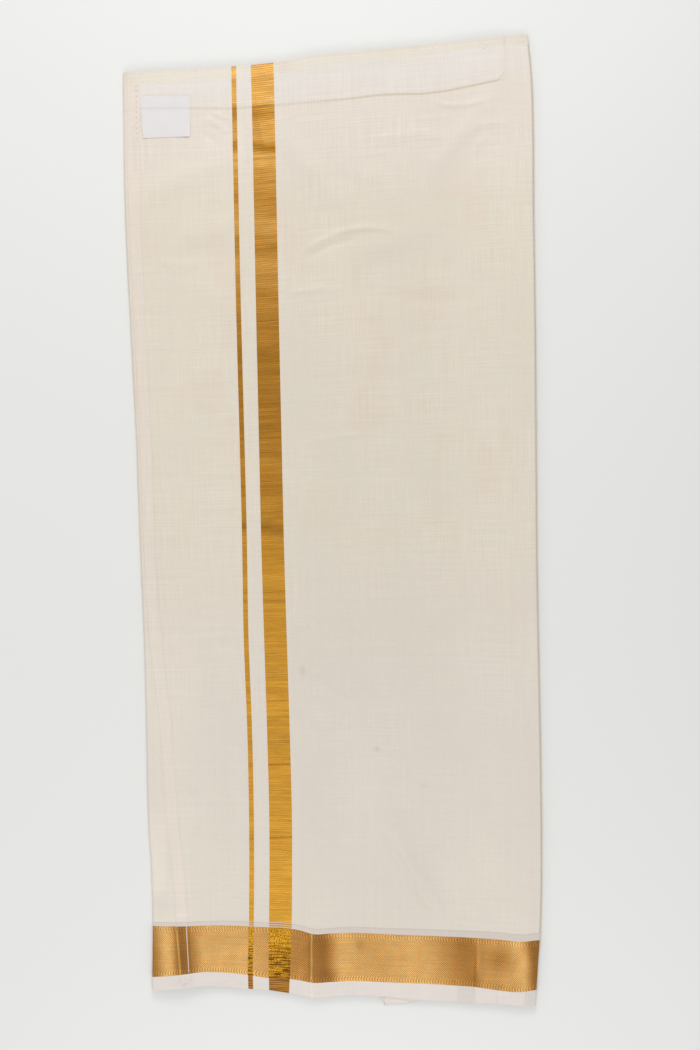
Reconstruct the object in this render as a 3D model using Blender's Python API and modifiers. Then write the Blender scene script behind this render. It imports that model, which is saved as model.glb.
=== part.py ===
"""A cotton dhoti, folded lengthwise into four layers and laid flat.

The front layer has two gold stripes woven down its length and a gold border woven above its hem. At the left
it turns under and becomes the lowest layer, and at the right it turns under and becomes the second one. The
second layer's stitched end, and a facing strip along the waist, lie just under the front layer.

Metres. +X runs across the folded cloth, +Y towards the waist edge and +Z up. The origin is under the middle.
"""

import bmesh
import bpy
import numpy as np

OBJECT = "folded_dhoti"

# Driving sizes.
WALL = 0.0010  # one layer of cloth
SEAM = 0.0003  # the gap between pieces, and between layers
NARROW_STRIPE = 0.0056
WIDE_STRIPE = 0.0252
END_HEM = 0.0118  # width of the stitched hem on the second layer's end
LINE_LEFT = 0.0046  # depth of the white woven line over the border, at its left and right ends
LINE_RIGHT = 0.0082
RISE = 0.0045  # the run over which the front layer climbs onto a strip that lies under it
LEFT_FLAP = 0.0100  # how far the front layer's turned edges run in under the stack
RIGHT_FLAP = 0.0080
LIP = 0.0004  # how far a layer's cut edge rounds in, above and below
GROOVE = 0.0040  # depth of the gaps between the hidden layers, at the stack's edges
CORNER_CUT = 0.006  # the part of a side that a hidden layer's corner takes off

# Heights of the stack.
HIDDEN_LAYERS = 3
LAYER_PITCH = WALL + SEAM
STACK_TOP = HIDDEN_LAYERS * LAYER_PITCH - SEAM
FRONT_TOP = STACK_TOP + LAYER_PITCH
LEFT_RADIUS = FRONT_TOP / 2
RIGHT_RADIUS = WALL + SEAM / 2

# The lines that run down the cloth: a row for each place down its length, with each line's x there.
# end_hem is the inner edge of the hem under the front layer; narrow and wide are the stripes' middles.
ACROSS_COLUMNS = ("y", "left", "end_hem", "narrow", "wide", "right")
ACROSS_ROWS = (
    (-0.534, -0.1982, -0.1535, -0.0893, -0.0584, 0.2231),
    (-0.490, -0.1979, -0.1570, -0.0906, -0.0581, 0.2256),
    (-0.445, -0.1975, -0.1588, -0.0890, -0.0572, 0.2292),
    (-0.411, -0.1977, -0.1610, -0.0888, -0.0569, 0.2299),
    (-0.330, -0.2025, -0.1700, -0.0889, -0.0569, 0.2299),
    (-0.230, -0.2045, -0.1765, -0.0909, -0.0594, 0.2285),
    (-0.118, -0.2074, -0.1898, -0.0952, -0.0630, 0.2263),
    (-0.042, -0.2107, -0.1945, -0.0962, -0.0653, 0.2250),
    (0.084, -0.2154, -0.1990, -0.0992, -0.0682, 0.2241),
    (0.181, -0.2202, -0.2035, -0.1018, -0.0704, 0.2234),
    (0.259, -0.2244, -0.2078, -0.1038, -0.0721, 0.2226),
    (0.357, -0.2283, -0.2117, -0.1058, -0.0740, 0.2211),
    (0.430, -0.2294, -0.2129, -0.1073, -0.0755, 0.2208),
    (0.495, -0.2299, -0.2134, -0.1084, -0.0771, 0.2184),
    (0.534, -0.2299, -0.2134, -0.1092, -0.0781, 0.2145),
)

# The lines that run across the cloth: a row for each place across it, with each line's y there.
# turn is the lower edge of the turned waist hem, facing that of the strip under it.
DOWN_COLUMNS = ("x", "waist", "turn", "facing", "border_top", "border_low", "hem")
DOWN_ROWS = (
    (-0.230, 0.4923, 0.4775, 0.4530, -0.4450, -0.5004, -0.5159),
    (-0.187, 0.4949, 0.4800, 0.4537, -0.4452, -0.5007, -0.5154),
    (-0.165, 0.4956, 0.4811, 0.4537, -0.4456, -0.4986, -0.5136),
    (-0.149, 0.4961, 0.4818, 0.4535, -0.4449, -0.4961, -0.5108),
    (-0.120, 0.4979, 0.4832, 0.4530, -0.4443, -0.4965, -0.5117),
    (-0.093, 0.4997, 0.4858, 0.4547, -0.4452, -0.4991, -0.5140),
    (-0.071, 0.5018, 0.4890, 0.4563, -0.4465, -0.5025, -0.5154),
    (-0.047, 0.5060, 0.4926, 0.4583, -0.4468, -0.5029, -0.5189),
    (-0.022, 0.5113, 0.4960, 0.4605, -0.4541, -0.5080, -0.5234),
    (0.014, 0.5140, 0.5012, 0.4634, -0.4520, -0.5055, -0.5210),
    (0.060, 0.5187, 0.5046, 0.4690, -0.4541, -0.5072, -0.5227),
    (0.097, 0.5219, 0.5070, 0.4692, -0.4555, -0.5087, -0.5269),
    (0.129, 0.5252, 0.5136, 0.4732, -0.4568, -0.5104, -0.5277),
    (0.157, 0.5286, 0.5177, 0.4795, -0.4583, -0.5124, -0.5308),
    (0.180, 0.5315, 0.5205, 0.4840, -0.4596, -0.5158, -0.5299),
    (0.213, 0.5336, 0.5226, 0.4900, -0.4628, -0.5186, -0.5336),
    (0.230, 0.5345, 0.5235, 0.4930, -0.4605, -0.5160, -0.5326),
)

# The largest soft swells of the front layer: middle, half length and half width, turn in degrees, height.
SWELLS = (
    # x, y, length, width, turn, height
    (0.010, 0.300, 0.075, 0.022, 20.0, 0.0011),
    (0.075, -0.375, 0.085, 0.024, -55.0, 0.0012),
    (0.150, 0.390, 0.110, 0.030, 25.0, 0.0009),
    (-0.160, 0.130, 0.120, 0.026, 82.0, 0.0007),
    (0.120, -0.130, 0.140, 0.035, -65.0, 0.0008),
    (0.010, -0.200, 0.060, 0.020, -38.0, 0.0007),
    (-0.140, -0.470, 0.060, 0.030, 0.0, 0.0007),
    (0.080, -0.485, 0.080, 0.030, 0.0, 0.0008),
)

# How far each hidden layer's edges lie inside the front layer's outline, lowest layer first.
LAYER_COLUMNS = ("left", "waist", "hem")
LAYERS = (
    (LEFT_RADIUS + LEFT_FLAP + SEAM, 0.0034, 0.0030),
    (LEFT_RADIUS + SEAM, 0.0014, 0.0016),
    (LEFT_RADIUS + SEAM, 0.0026, 0.0006),
)
# A corner of the second layer reaches out past the hem: how far, at each x.
CORNER_X = (0.0545, 0.0570, 0.0730, 0.0974)
CORNER_REACH = (0.0, 0.0098, 0.0068, 0.0)

FACING_LEFT = -0.2115
FACING_RIGHT = 0.1880
LABEL_CENTRE = (-0.1829, 0.4433)
LABEL_WIDTH = 0.0530
LABEL_DEPTH = 0.0460

# The front layer's lines, in order; a place on it is (across, down), in steps between these lines.
LEFT, RISE_ON, HEM_OUTER, HEM_INNER, RISE_OFF, NARROW_A, NARROW_B, WIDE_A, WIDE_B, RIGHT = range(10)
WAIST, TURN, FACING, FACING_OFF, LINE, BORDER_TOP, BORDER_LOW, HEM = range(8)
LEFT_FIELD = (1, 1, 1, 1, 4)  # columns of the mesh from line to line, so that sections meet point to point
RIGHT_FIELD = 12
FOLD_TURN = 0.6  # the part of a fold's step that turns; the rest is its flap
WAIST_BEND = 0.15  # the part of the waist hem, each side of its edge, that turns

COLOURS = {
    # name: colour, roughness, metallic
    "cream_cotton": ((0.76, 0.70, 0.60), 0.85, 0.0),
    "white_cotton": ((0.82, 0.79, 0.75), 0.85, 0.0),
    "gold_thread": ((0.58, 0.31, 0.06), 0.38, 0.6),
    "gold_border": ((0.62, 0.38, 0.12), 0.35, 0.6),
    "label_satin": ((0.85, 0.84, 0.84), 0.45, 0.0),
}


def columns(names, rows):
    return dict(zip(names, np.array(rows).T))


ACROSS = columns(ACROSS_COLUMNS, ACROSS_ROWS)
DOWN = columns(DOWN_COLUMNS, DOWN_ROWS)


def smooth(table, key, name, at):
    """A table's column at a place: a cubic between rows, each row's slope taken from its neighbours."""
    knots, values = table[key], table[name]
    slopes = np.gradient(values, knots)
    at = np.clip(at, knots[0], knots[-1])
    i = np.clip(np.searchsorted(knots, at) - 1, 0, len(knots) - 2)
    step = knots[i + 1] - knots[i]
    t = (at - knots[i]) / step
    start = (2 * t**3 - 3 * t**2 + 1) * values[i] + (t**3 - 2 * t**2 + t) * step * slopes[i]
    end = (3 * t**2 - 2 * t**3) * values[i + 1] + (t**3 - t**2) * step * slopes[i + 1]
    return start + end


def lines_across(y):
    """The x of each line that runs down the cloth, at this y."""

    def line(name):
        return smooth(ACROSS, "y", name, y)

    flat_left = line("left") + LEFT_RADIUS
    hem_outer = np.maximum(line("end_hem") - END_HEM, flat_left + 0.002)
    return np.array(
        [
            flat_left,
            np.maximum(hem_outer - RISE, flat_left + 0.0002),
            hem_outer,
            line("end_hem"),
            line("end_hem") + RISE,
            line("narrow") - NARROW_STRIPE / 2,
            line("narrow") + NARROW_STRIPE / 2,
            line("wide") - WIDE_STRIPE / 2,
            line("wide") + WIDE_STRIPE / 2,
            line("right") - RIGHT_RADIUS,
        ]
    )


def lines_down(x):
    """The y of each line that runs across the cloth, at this x."""

    def line(name):
        return smooth(DOWN, "x", name, x)

    woven_line = np.interp(x, (-0.2, 0.2), (LINE_LEFT, LINE_RIGHT))
    return np.array(
        [
            line("waist"),
            line("turn"),
            line("facing"),
            line("facing") - RISE,
            line("border_top") + woven_line,
            line("border_top"),
            line("border_low"),
            line("hem"),
        ]
    )


def between(lines, place):
    """The value at a place among evenly numbered lines, for arrays of both."""
    low = np.clip(np.floor(place).astype(int), 0, len(lines) - 2)
    part = place - low
    start = np.take_along_axis(lines, low[None], 0)[0]
    end = np.take_along_axis(lines, low[None] + 1, 0)[0]
    return start + (end - start) * part


def on_plan(across, down):
    """The x and y of a place on the flat part of the front layer."""
    x, y = np.zeros(across.shape), np.zeros(across.shape)
    for _ in range(6):
        x = between(lines_across(y), across)
        y = between(lines_down(x), down)
    return x, y


def swell(x, y):
    total = np.zeros(np.shape(x))
    for middle_x, middle_y, length, width, turn, height in SWELLS:
        cos, sin = np.cos(np.radians(turn)), np.sin(np.radians(turn))
        along = ((x - middle_x) * cos + (y - middle_y) * sin) / length
        aside = ((y - middle_y) * cos - (x - middle_x) * sin) / width
        total = total + height * np.exp(-(along**2) - aside**2)
    return total


def front_height(across, down, x, y):
    """The height of the front layer's upper side: flat, raised over the strips under it, with soft swells."""
    over_hem = np.interp(across, (RISE_ON, HEM_OUTER, HEM_INNER, RISE_OFF), (0, 1, 1, 0))
    over_facing = np.interp(down, (FACING, FACING_OFF), (1, 0))
    edge = np.interp(across, (LEFT, RISE_ON, WIDE_B + 0.97, RIGHT), (0, 1, 1, 0))
    side = np.interp(across, (LEFT, RISE_ON, WIDE_B, RIGHT), (0, 1, 1, 0))
    return FRONT_TOP + LAYER_PITCH * np.maximum(over_hem, over_facing * edge) + swell(x, y) * side


def front_points(across, down):
    """Places on the front layer's outer side. Past LEFT and RIGHT they go round the fold and in under it."""
    x, y = on_plan(np.clip(across, LEFT, RIGHT), down)
    z = front_height(np.clip(across, LEFT, RIGHT), down, x, y)
    folds = (
        (LEFT - across, LEFT_RADIUS, LEFT_FLAP, -1),
        (across - RIGHT, RIGHT_RADIUS, RIGHT_FLAP, 1),
    )
    for past, radius, flap, side in folds:
        turned = np.pi * np.clip(past / FOLD_TURN, 0, 1)
        inward = flap * np.clip((past - FOLD_TURN) / (1 - FOLD_TURN), 0, 1)
        x = x + side * (radius * np.sin(turned) - inward)
        z = z - radius * (1 - np.cos(turned))
    return np.stack([x, y, z], axis=-1)


def material(name):
    found = bpy.data.materials.get(name)
    if found:
        return found
    colour, roughness, metallic = COLOURS[name]
    made = bpy.data.materials.new(name)
    made.use_nodes = True
    shader = made.node_tree.nodes["Principled BSDF"]
    shader.inputs["Base Color"].default_value = (*colour, 1)
    shader.inputs["Roughness"].default_value = roughness
    shader.inputs["Metallic"].default_value = metallic
    made.diffuse_color = (*colour, 1)
    return made


def add_object(name, mesh, collection, finish):
    obj = bpy.data.objects.new(name, mesh)
    mesh.materials.append(material(finish))
    mesh.shade_smooth()
    mesh.set_sharp_from_angle(angle=np.radians(40))
    collection.objects.link(obj)
    return obj


def steps(marks, counts):
    """Places from mark to mark, with so many steps in each stretch."""
    places = [marks[0]]
    for start, end, count in zip(marks, marks[1:], counts):
        places += list(np.linspace(start, end, count + 1)[1:])
    return np.array(places)


def panel(name, across, down, place, collection, finish, outward=-1):
    """A cloth wall: a grid whose points go where place puts them, with Solidify for its thickness."""
    mesh = bpy.data.meshes.new(name)
    shape = bmesh.new()
    bmesh.ops.create_grid(shape, x_segments=len(across) - 1, y_segments=len(down) - 1, size=0.5)
    shape.verts.ensure_lookup_table()
    grid = np.array([vert.co[:2] for vert in shape.verts])
    column = np.rint((grid[:, 0] + 0.5) * (len(across) - 1)).astype(int)
    row = np.rint((grid[:, 1] + 0.5) * (len(down) - 1)).astype(int)
    for vert, point in zip(shape.verts, place(across[column], down[::-1][row])):
        vert.co = point
    shape.to_mesh(mesh)
    shape.free()
    obj = add_object(name, mesh, collection, finish)
    wall = obj.modifiers.new("wall", "SOLIDIFY")
    wall.thickness = WALL
    wall.offset = outward
    wall.use_even_offset = True
    return obj


def drawn_in(across, down):
    """A place function for a panel between these lines, held half a seam inside each inner line."""

    def place(a, d):
        points = front_points(a, d)
        half = SEAM / 2
        if across[0] > LEFT:
            points[..., 0] += np.where(a <= across[0], half, 0)
        if across[1] < RIGHT:
            points[..., 0] -= np.where(a >= across[1], half, 0)
        if down[0] > WAIST:
            points[..., 1] -= np.where(d <= down[0], half, 0)
        if down[1] < HEM:
            points[..., 1] += np.where(d >= down[1], half, 0)
        return points

    return place


def left_fold_places():
    turning = steps((LEFT - FOLD_TURN, LEFT), (5,))
    return np.concatenate([[LEFT - 1], turning[:-1]])


def right_fold_places():
    turning = steps((RIGHT, RIGHT + FOLD_TURN), (5,))
    return np.concatenate([turning[1:], [RIGHT + 1]])


def flat_places():
    """The columns of a piece that runs the whole way across."""
    return steps(tuple(range(LEFT, RIGHT + 1)), (*LEFT_FIELD, 1, 1, 1, RIGHT_FIELD))


def front_sections(collection):
    """The front layer: the plain cloth and its stripes side by side, then the bands across its lower end."""
    rows = steps((TURN, FACING, FACING_OFF, LINE), (1, 1, 22))
    sections = (
        ("front_left", LEFT, NARROW_A, LEFT_FIELD, "cream_cotton"),
        ("stripe_narrow", NARROW_A, NARROW_B, (1,), "gold_thread"),
        ("front_between", NARROW_B, WIDE_A, (1,), "cream_cotton"),
        ("stripe_wide", WIDE_A, WIDE_B, (1,), "gold_thread"),
        ("front_right", WIDE_B, RIGHT, (RIGHT_FIELD,), "cream_cotton"),
    )
    for name, start, end, counts, finish in sections:
        across = steps(tuple(range(start, end + 1)), counts)
        if start == LEFT:
            across = np.concatenate([left_fold_places(), across])
        if end == RIGHT:
            across = np.concatenate([across, right_fold_places()])
        panel(name, across, rows, drawn_in((start, end), (TURN, LINE)), collection, finish)

    whole = np.concatenate([left_fold_places(), flat_places(), right_fold_places()])
    bands = (
        ("woven_line", LINE, BORDER_TOP, 1, "white_cotton"),
        ("gold_border", BORDER_TOP, BORDER_LOW, 2, "gold_border"),
        ("hem_selvedge", BORDER_LOW, HEM, 1, "white_cotton"),
    )
    for name, start, end, count, finish in bands:
        down = steps((start, end), (count,))
        panel(name, whole, down, drawn_in((LEFT, RIGHT), (start, end)), collection, finish)


def waist_hem(collection):
    """The turned hem along the waist: up from its stitched edge, over the top and back down underneath.

    Its ends are square, and reach the folds' outer sides.
    """

    def place(a, d):
        stitched = np.abs(d) == TURN
        turned = np.pi * np.clip(0.5 - d / 2 / WAIST_BEND, 0, 1)
        points = front_points(a, np.where(stitched, TURN, WAIST))
        points[..., 0] += np.where(a >= RIGHT, RIGHT_RADIUS, 0) - np.where(a <= LEFT, LEFT_RADIUS, 0)
        points[..., 1] += np.where(stitched, SEAM / 2, RIGHT_RADIUS * (np.sin(turned) - 1))
        points[..., 2] = FRONT_TOP + LAYER_PITCH - RIGHT_RADIUS * (1 - np.cos(turned))
        return points

    bend = np.linspace(-WAIST_BEND, WAIST_BEND, 5)
    down = np.concatenate([[-TURN], bend, [TURN]])
    panel("waist_hem", flat_places(), down, place, collection, "cream_cotton")


def strips_under_front(collection):
    """The facing strip along the waist and the second layer's stitched end hem, on top of the stack."""
    level = STACK_TOP + LAYER_PITCH

    def facing_place(a, d):
        x = FACING_LEFT + (FACING_RIGHT - FACING_LEFT) * a
        lines = lines_down(x)
        top, low = lines[TURN] - 3 * SEAM, lines[FACING]
        rounding = 0.008 * np.clip((a - 0.97) / 0.03, 0, 1) ** 2
        return np.stack([x, top + (low + rounding - top) * d, np.full(np.shape(x), level)], axis=-1)

    def end_hem_place(a, d):
        top, low = 0.4760, -0.5150
        y = top + (low - top) * d
        lines = lines_across(y)
        x = lines[HEM_OUTER] + (lines[HEM_INNER] - lines[HEM_OUTER]) * a
        y = np.maximum(y, lines_down(x)[HEM] + SEAM)
        return np.stack([x, y, np.full(np.shape(x), level)], axis=-1)

    along = np.append(np.linspace(0, 0.97, 16), (0.985, 1.0))
    panel("waist_facing", along, np.linspace(0, 1, 2), facing_place, collection, "white_cotton")
    panel("end_hem", np.linspace(0, 1, 2), np.linspace(0, 1, 25), end_hem_place, collection, "cream_cotton")


def care_label(collection):
    """A bare sewn label on the front layer: the layer's own points, moved out."""

    def place(a, d):
        x = LABEL_CENTRE[0] + LABEL_WIDTH * (a - 0.5)
        y = np.where(d <= 0, LABEL_CENTRE[1] + LABEL_DEPTH / 2, LABEL_CENTRE[1] - LABEL_DEPTH / 2)
        lines = lines_down(x)
        y = np.where(d == 1, lines[FACING], np.where(d == 2, lines[FACING_OFF], y))
        rise = np.interp(d, (0, 1, 2, 3), (1, 1, 0, 0))
        z = FRONT_TOP + SEAM + LAYER_PITCH * rise + swell(x, y)
        return np.stack([x, y, z], axis=-1)

    panel(
        "care_label", np.linspace(0, 1, 5), np.arange(4.0), place, collection, "label_satin", outward=1
    )


def layer_ring(left, right, waist, hem, reach):
    """The stack's outline at one level, drawn in by these amounts, as points in order round it."""
    sides = np.linspace(CORNER_CUT, 1 - CORNER_CUT, 21)
    ends = np.linspace(CORNER_CUT * 2, 1 - CORNER_CUT * 2, 17)
    ends = np.sort(np.append(ends, (0.598, 0.606, 0.645, 0.702)))
    zeros, ones = np.zeros, np.ones
    s = np.concatenate([ends, ones(len(sides)), ends[::-1], zeros(len(sides))])
    t = np.concatenate([zeros(len(ends)), sides, ones(len(ends)), sides[::-1]])
    x, y = np.zeros(len(s)), np.zeros(len(s))
    for _ in range(6):
        start = smooth(ACROSS, "y", "left", y) + left
        end = smooth(ACROSS, "y", "right", y) - right
        x = start + (end - start) * s
        low = smooth(DOWN, "x", "hem", x) + hem
        high = smooth(DOWN, "x", "waist", x) - waist
        y = low + (high - low) * t
    if reach:
        y = y - np.where(t == 0, np.interp(x, CORNER_X, CORNER_REACH), 0)
    return x, y


def hidden_layers(collection):
    """The three layers under the front one, as one solid with a gap between their edges.

    At the right the lower two are one fold, so their edge is one round nose.
    """
    nose = WALL + SEAM / 2
    levels = []
    for number, edges in enumerate(LAYERS):
        low = number * LAYER_PITCH
        for height, drawn in ((0, LIP), (WALL / 2, 0), (WALL, LIP)):
            levels.append((low + height, *(edge + drawn for edge in edges), number))
        if number < HIDDEN_LAYERS - 1:
            deep = tuple(max(pair) + GROOVE for pair in zip(edges, LAYERS[number + 1]))
            levels.append((low + WALL, *deep, number + 0.5))
            levels.append((low + LAYER_PITCH, *deep, number + 0.5))

    shape = bmesh.new()
    rings = []
    for z, left, waist, hem, number in levels:
        if number <= 1:
            right = nose - np.sqrt(max(nose**2 - (z - nose) ** 2, 0))
        else:
            right = RIGHT_RADIUS + RIGHT_FLAP + SEAM + (GROOVE if number == 1.5 else LIP)
        x, y = layer_ring(left, right, waist, hem, reach=number == HIDDEN_LAYERS - 1)
        rings.append([shape.verts.new((*point, z)) for point in zip(x, y)])
    for low, high in zip(rings, rings[1:]):
        for i in range(len(low)):
            shape.faces.new((low[i - 1], low[i], high[i], high[i - 1]))
    shape.faces.new(rings[0][::-1])
    shape.faces.new(rings[-1])
    bmesh.ops.recalc_face_normals(shape, faces=shape.faces)
    mesh = bpy.data.meshes.new("folded_layers")
    shape.to_mesh(mesh)
    shape.free()
    add_object("folded_layers", mesh, collection, "cream_cotton")


def main():
    for obj in list(bpy.data.objects):
        bpy.data.objects.remove(obj, do_unlink=True)
    collection = bpy.data.collections.new(OBJECT)
    bpy.context.scene.collection.children.link(collection)
    hidden_layers(collection)
    strips_under_front(collection)
    front_sections(collection)
    waist_hem(collection)
    care_label(collection)


main()
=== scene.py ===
"""The looks of a folded cotton dhoti with gold stripes and a gold border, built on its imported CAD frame.

Metres. +X runs across the folded cloth, +Y towards its waist edge and +Z up. The outline and the edges of
every band are read from the CAD nodes. The front layer is one surface, and each piece of it is a grid
between two lines across and two lines down, so that neighbours meet. The second, third and lowest layers
are under it.
"""

import bpy
import numpy as np
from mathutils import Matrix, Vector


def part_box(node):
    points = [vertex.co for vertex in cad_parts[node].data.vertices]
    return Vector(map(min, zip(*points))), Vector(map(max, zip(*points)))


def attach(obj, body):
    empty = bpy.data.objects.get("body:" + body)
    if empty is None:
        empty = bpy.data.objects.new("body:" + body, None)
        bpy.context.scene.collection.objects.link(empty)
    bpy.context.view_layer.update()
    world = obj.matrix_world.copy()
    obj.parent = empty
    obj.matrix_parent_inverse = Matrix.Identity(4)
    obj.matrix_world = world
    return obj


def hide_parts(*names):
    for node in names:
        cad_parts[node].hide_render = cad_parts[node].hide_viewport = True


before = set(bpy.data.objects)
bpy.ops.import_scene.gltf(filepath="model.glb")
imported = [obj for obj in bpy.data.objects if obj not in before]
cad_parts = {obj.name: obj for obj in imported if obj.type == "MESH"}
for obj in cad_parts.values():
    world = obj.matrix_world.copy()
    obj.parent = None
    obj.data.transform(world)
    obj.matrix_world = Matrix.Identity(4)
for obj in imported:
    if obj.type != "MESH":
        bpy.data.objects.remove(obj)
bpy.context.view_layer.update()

# Sizes of the cloth.
CLOTH = 0.00045  # how thick one layer is
RAMP = 0.0022  # the run over which the front layer climbs onto a strip under it
HEM_STEP = 0.0007  # how far the end hem lifts the front layer
FACING_STEP = 0.0009
TURN_STEP = 0.0004  # how much higher the doubled waist hem stands
LEFT_RADIUS = 0.00245
RIGHT_RADIUS = 0.00115
LEFT_FLAP = 0.0100
RIGHT_FLAP = 0.0080
ROLL = 0.0005  # half the thickness of the turned waist hem
SECOND_LOW = 0.0026  # the second layer's underside
SECOND_TOP = 0.0036
THIRD_TOP = 0.0023
SEAM = 0.0003
FOLD_TURN = 0.6  # the part of a fold's step that turns; the rest is its flap
HEM_BEND = 0.036  # where the waist hem's bend begins, below the waist in parts of the hem's depth
PALER_Y = 0.493  # above this the front is paler right of the facing too
FREE_RIM = 0.35  # how far a layer's free edge bulges, in parts of its thickness
SIDE_RIM = 0.3
STRIP_RIMS = (SIDE_RIM,) * 4
LABEL_CLOTH = 0.00030
CREASE_REACH = 0.12  # farther than this from its middle, a crease is left out
CRUMPLED = (-0.1615, -0.5065)  # where the hem's corner is crumpled
PRESS_SLANT = 0.05  # how much a press fold rises to the right
SHARP_ANGLE = 50
SKY_STRENGTH = 0.575

# Pitches of the weaves in metres, and how deep their relief is.
THREAD_PITCH = 0.00048
BAND_PITCH = 0.0024
TEETH_PITCH = 0.0031
TEETH_DEPTH = 0.0029
TWILL_PITCH = 0.0026
ZIGZAG = 0.0110  # how wide each half of the herringbone is
RIB_PITCH = 0.0023
STITCH_SHADOW_PITCH = 0.0058
COTTON_RELIEF = 0.00016
STRIPE_RELIEF = 0.00010
BORDER_RELIEF = 0.00011
FINE_RELIEF = 0.00005
HEM_LIFT = 0.0040  # how far the hem lifts off the stack near its left end
LEAST_SHEET = 0.0105  # a strip narrower than this is kept in trims, not counted as a sheet

# Soft swells of the front layer. They are this file's own: there are more of them than in the
# CAD solid, and most are narrower and higher.
SWELLS = (
    # x, y, half length, half width, turn in degrees, height
    (-0.011, 0.372, 0.084, 0.013, -49.0, 0.0024),
    (-0.167, 0.374, 0.050, 0.015, 22.0, 0.0020),
    (-0.138, 0.315, 0.036, 0.015, 20.0, 0.0016),
    (-0.124, 0.240, 0.040, 0.013, -49.0, 0.0015),
    (0.058, 0.305, 0.040, 0.016, 15.0, 0.0020),
    (0.142, 0.425, 0.046, 0.011, 52.0, 0.0018),
    (0.100, 0.330, 0.070, 0.020, -40.0, 0.0014),
    (0.150, 0.230, 0.080, 0.022, -62.0, 0.0014),
    (0.020, 0.150, 0.090, 0.024, -50.0, 0.0012),
    (-0.160, 0.090, 0.120, 0.024, 82.0, 0.0012),
    (0.120, -0.060, 0.110, 0.024, -62.0, 0.0013),
    (-0.150, -0.170, 0.060, 0.018, -60.0, 0.0012),
    (0.010, -0.155, 0.070, 0.014, -38.0, 0.0015),
    (0.075, -0.360, 0.080, 0.014, -61.0, 0.0026),
    (0.160, -0.330, 0.080, 0.018, -58.0, 0.0014),
    (-0.130, -0.370, 0.060, 0.018, -66.0, 0.0011),
    (-0.025, -0.330, 0.070, 0.018, -70.0, 0.0012),
    (-0.140, -0.470, 0.060, 0.030, 0.0, 0.0009),
    (0.080, -0.485, 0.080, 0.030, 0.0, 0.0010),
)

# Creases of the front layer, each along three points. A height below 0 is a trough.
CREASES = (
    # start, middle, end, height, half width
    ((-0.024, -0.448), (-0.023, -0.486), (-0.022, -0.530), 0.0012, 0.0013),
    ((-0.024, -0.430), (-0.023, -0.486), (-0.022, -0.530), 0.0012, 0.0110),
    ((0.159, -0.450), (0.158, -0.490), (0.157, -0.533), -0.0009, 0.0013),
    ((-0.037, 0.291), (0.020, 0.319), (0.079, 0.314), 0.0018, 0.0030),
    ((-0.034, 0.284), (0.000, 0.302), (0.032, 0.309), -0.0010, 0.0030),
    ((-0.054, 0.247), (-0.028, 0.253), (-0.003, 0.256), 0.0010, 0.0024),
    ((-0.043, 0.082), (0.000, 0.091), (0.044, 0.094), 0.0006, 0.0030),
    ((-0.142, 0.444), (-0.126, 0.434), (-0.111, 0.422), 0.0012, 0.0026),
    ((-0.133, 0.447), (-0.122, 0.444), (-0.111, 0.439), 0.0010, 0.0018),
    ((-0.148, 0.430), (-0.133, 0.418), (-0.118, 0.410), -0.0008, 0.0035),
    ((-0.122, 0.433), (-0.116, 0.426), (-0.111, 0.423), -0.0006, 0.0016),
    ((-0.094, 0.442), (-0.091, 0.433), (-0.088, 0.426), 0.0006, 0.0020),
    ((-0.046, -0.116), (-0.035, -0.115), (-0.024, -0.116), 0.0006, 0.0022),
    ((0.050, -0.335), (0.087, -0.395), (0.119, -0.438), -0.0020, 0.0040),
    ((0.085, -0.405), (0.102, -0.422), (0.118, -0.436), -0.0010, 0.0016),
    ((0.060, -0.335), (0.098, -0.395), (0.126, -0.433), 0.0012, 0.0060),
    ((0.125, -0.395), (0.150, -0.420), (0.170, -0.442), 0.0009, 0.0060),
    ((-0.031, -0.167), (0.000, -0.188), (0.027, -0.207), -0.0014, 0.0060),
    ((-0.049, -0.207), (-0.020, -0.230), (0.009, -0.248), -0.0008, 0.0070),
    ((0.108, 0.461), (0.140, 0.456), (0.171, 0.464), 0.0012, 0.0030),
    ((0.050, 0.255), (0.100, 0.243), (0.170, 0.248), -0.0007, 0.0080),
    ((0.043, 0.418), (0.090, 0.424), (0.130, 0.420), 0.0009, 0.0060),
    ((0.150, 0.430), (0.175, 0.436), (0.195, 0.433), 0.0009, 0.0040),
    ((0.155, 0.400), (0.162, 0.415), (0.172, 0.425), 0.0006, 0.0035),
    ((0.175, 0.150), (0.190, 0.070), (0.205, 0.020), 0.0007, 0.0070),
    ((-0.190, 0.290), (-0.170, 0.280), (-0.135, 0.285), 0.0008, 0.0060),
    ((-0.170, -0.260), (-0.150, -0.295), (-0.115, -0.310), 0.0008, 0.0070),
)

# Press folds across the stripes: thin lines where the gold thread is broken.
PRESS_FOLDS = (-0.349, -0.269, -0.199)

# Painted reflection: how bright the stripes' gold is painted, from the hem up: bright low down, dull over the
# middle, uneven above.
STRIPE_LEVELS = (
    # y, tone
    (-0.45, 0.95),
    (-0.05, 0.85),
    (0.02, 0.70),
    (0.15, 0.55),
    (0.22, 0.60),
    (0.28, 0.85),
    (0.48, 0.90),
)
# Painted shade: dull bands over those levels, where the cloth dips.
STRIPE_SHADED_DIPS = (
    # y, half width, how much duller
    (-0.010, 0.006, 0.25),
    (0.300, 0.012, 0.20),
    (0.350, 0.014, 0.25),
    (0.410, 0.006, 0.35),
    (0.445, 0.008, 0.35),
)

# Painted reflection: how bright the border's gold is painted, from the left fold to the right one: a row for
# each band.
BORDER_LEVELS = (
    # x, tone
    (-0.200, 0.5),
    (-0.182, 1.0),
    (-0.165, 0.4),
    (-0.140, 0.9),
    (-0.105, 0.9),
    (-0.040, 0.6),
    (-0.010, 0.4),
    (0.012, 0.9),
    (0.045, 0.8),
    (0.090, 0.9),
    (0.155, 0.5),
    (0.163, 0.7),
    (0.195, 0.8),
    (0.208, 1.0),
    (0.222, 0.4),
)


# ---- small helpers


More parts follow.
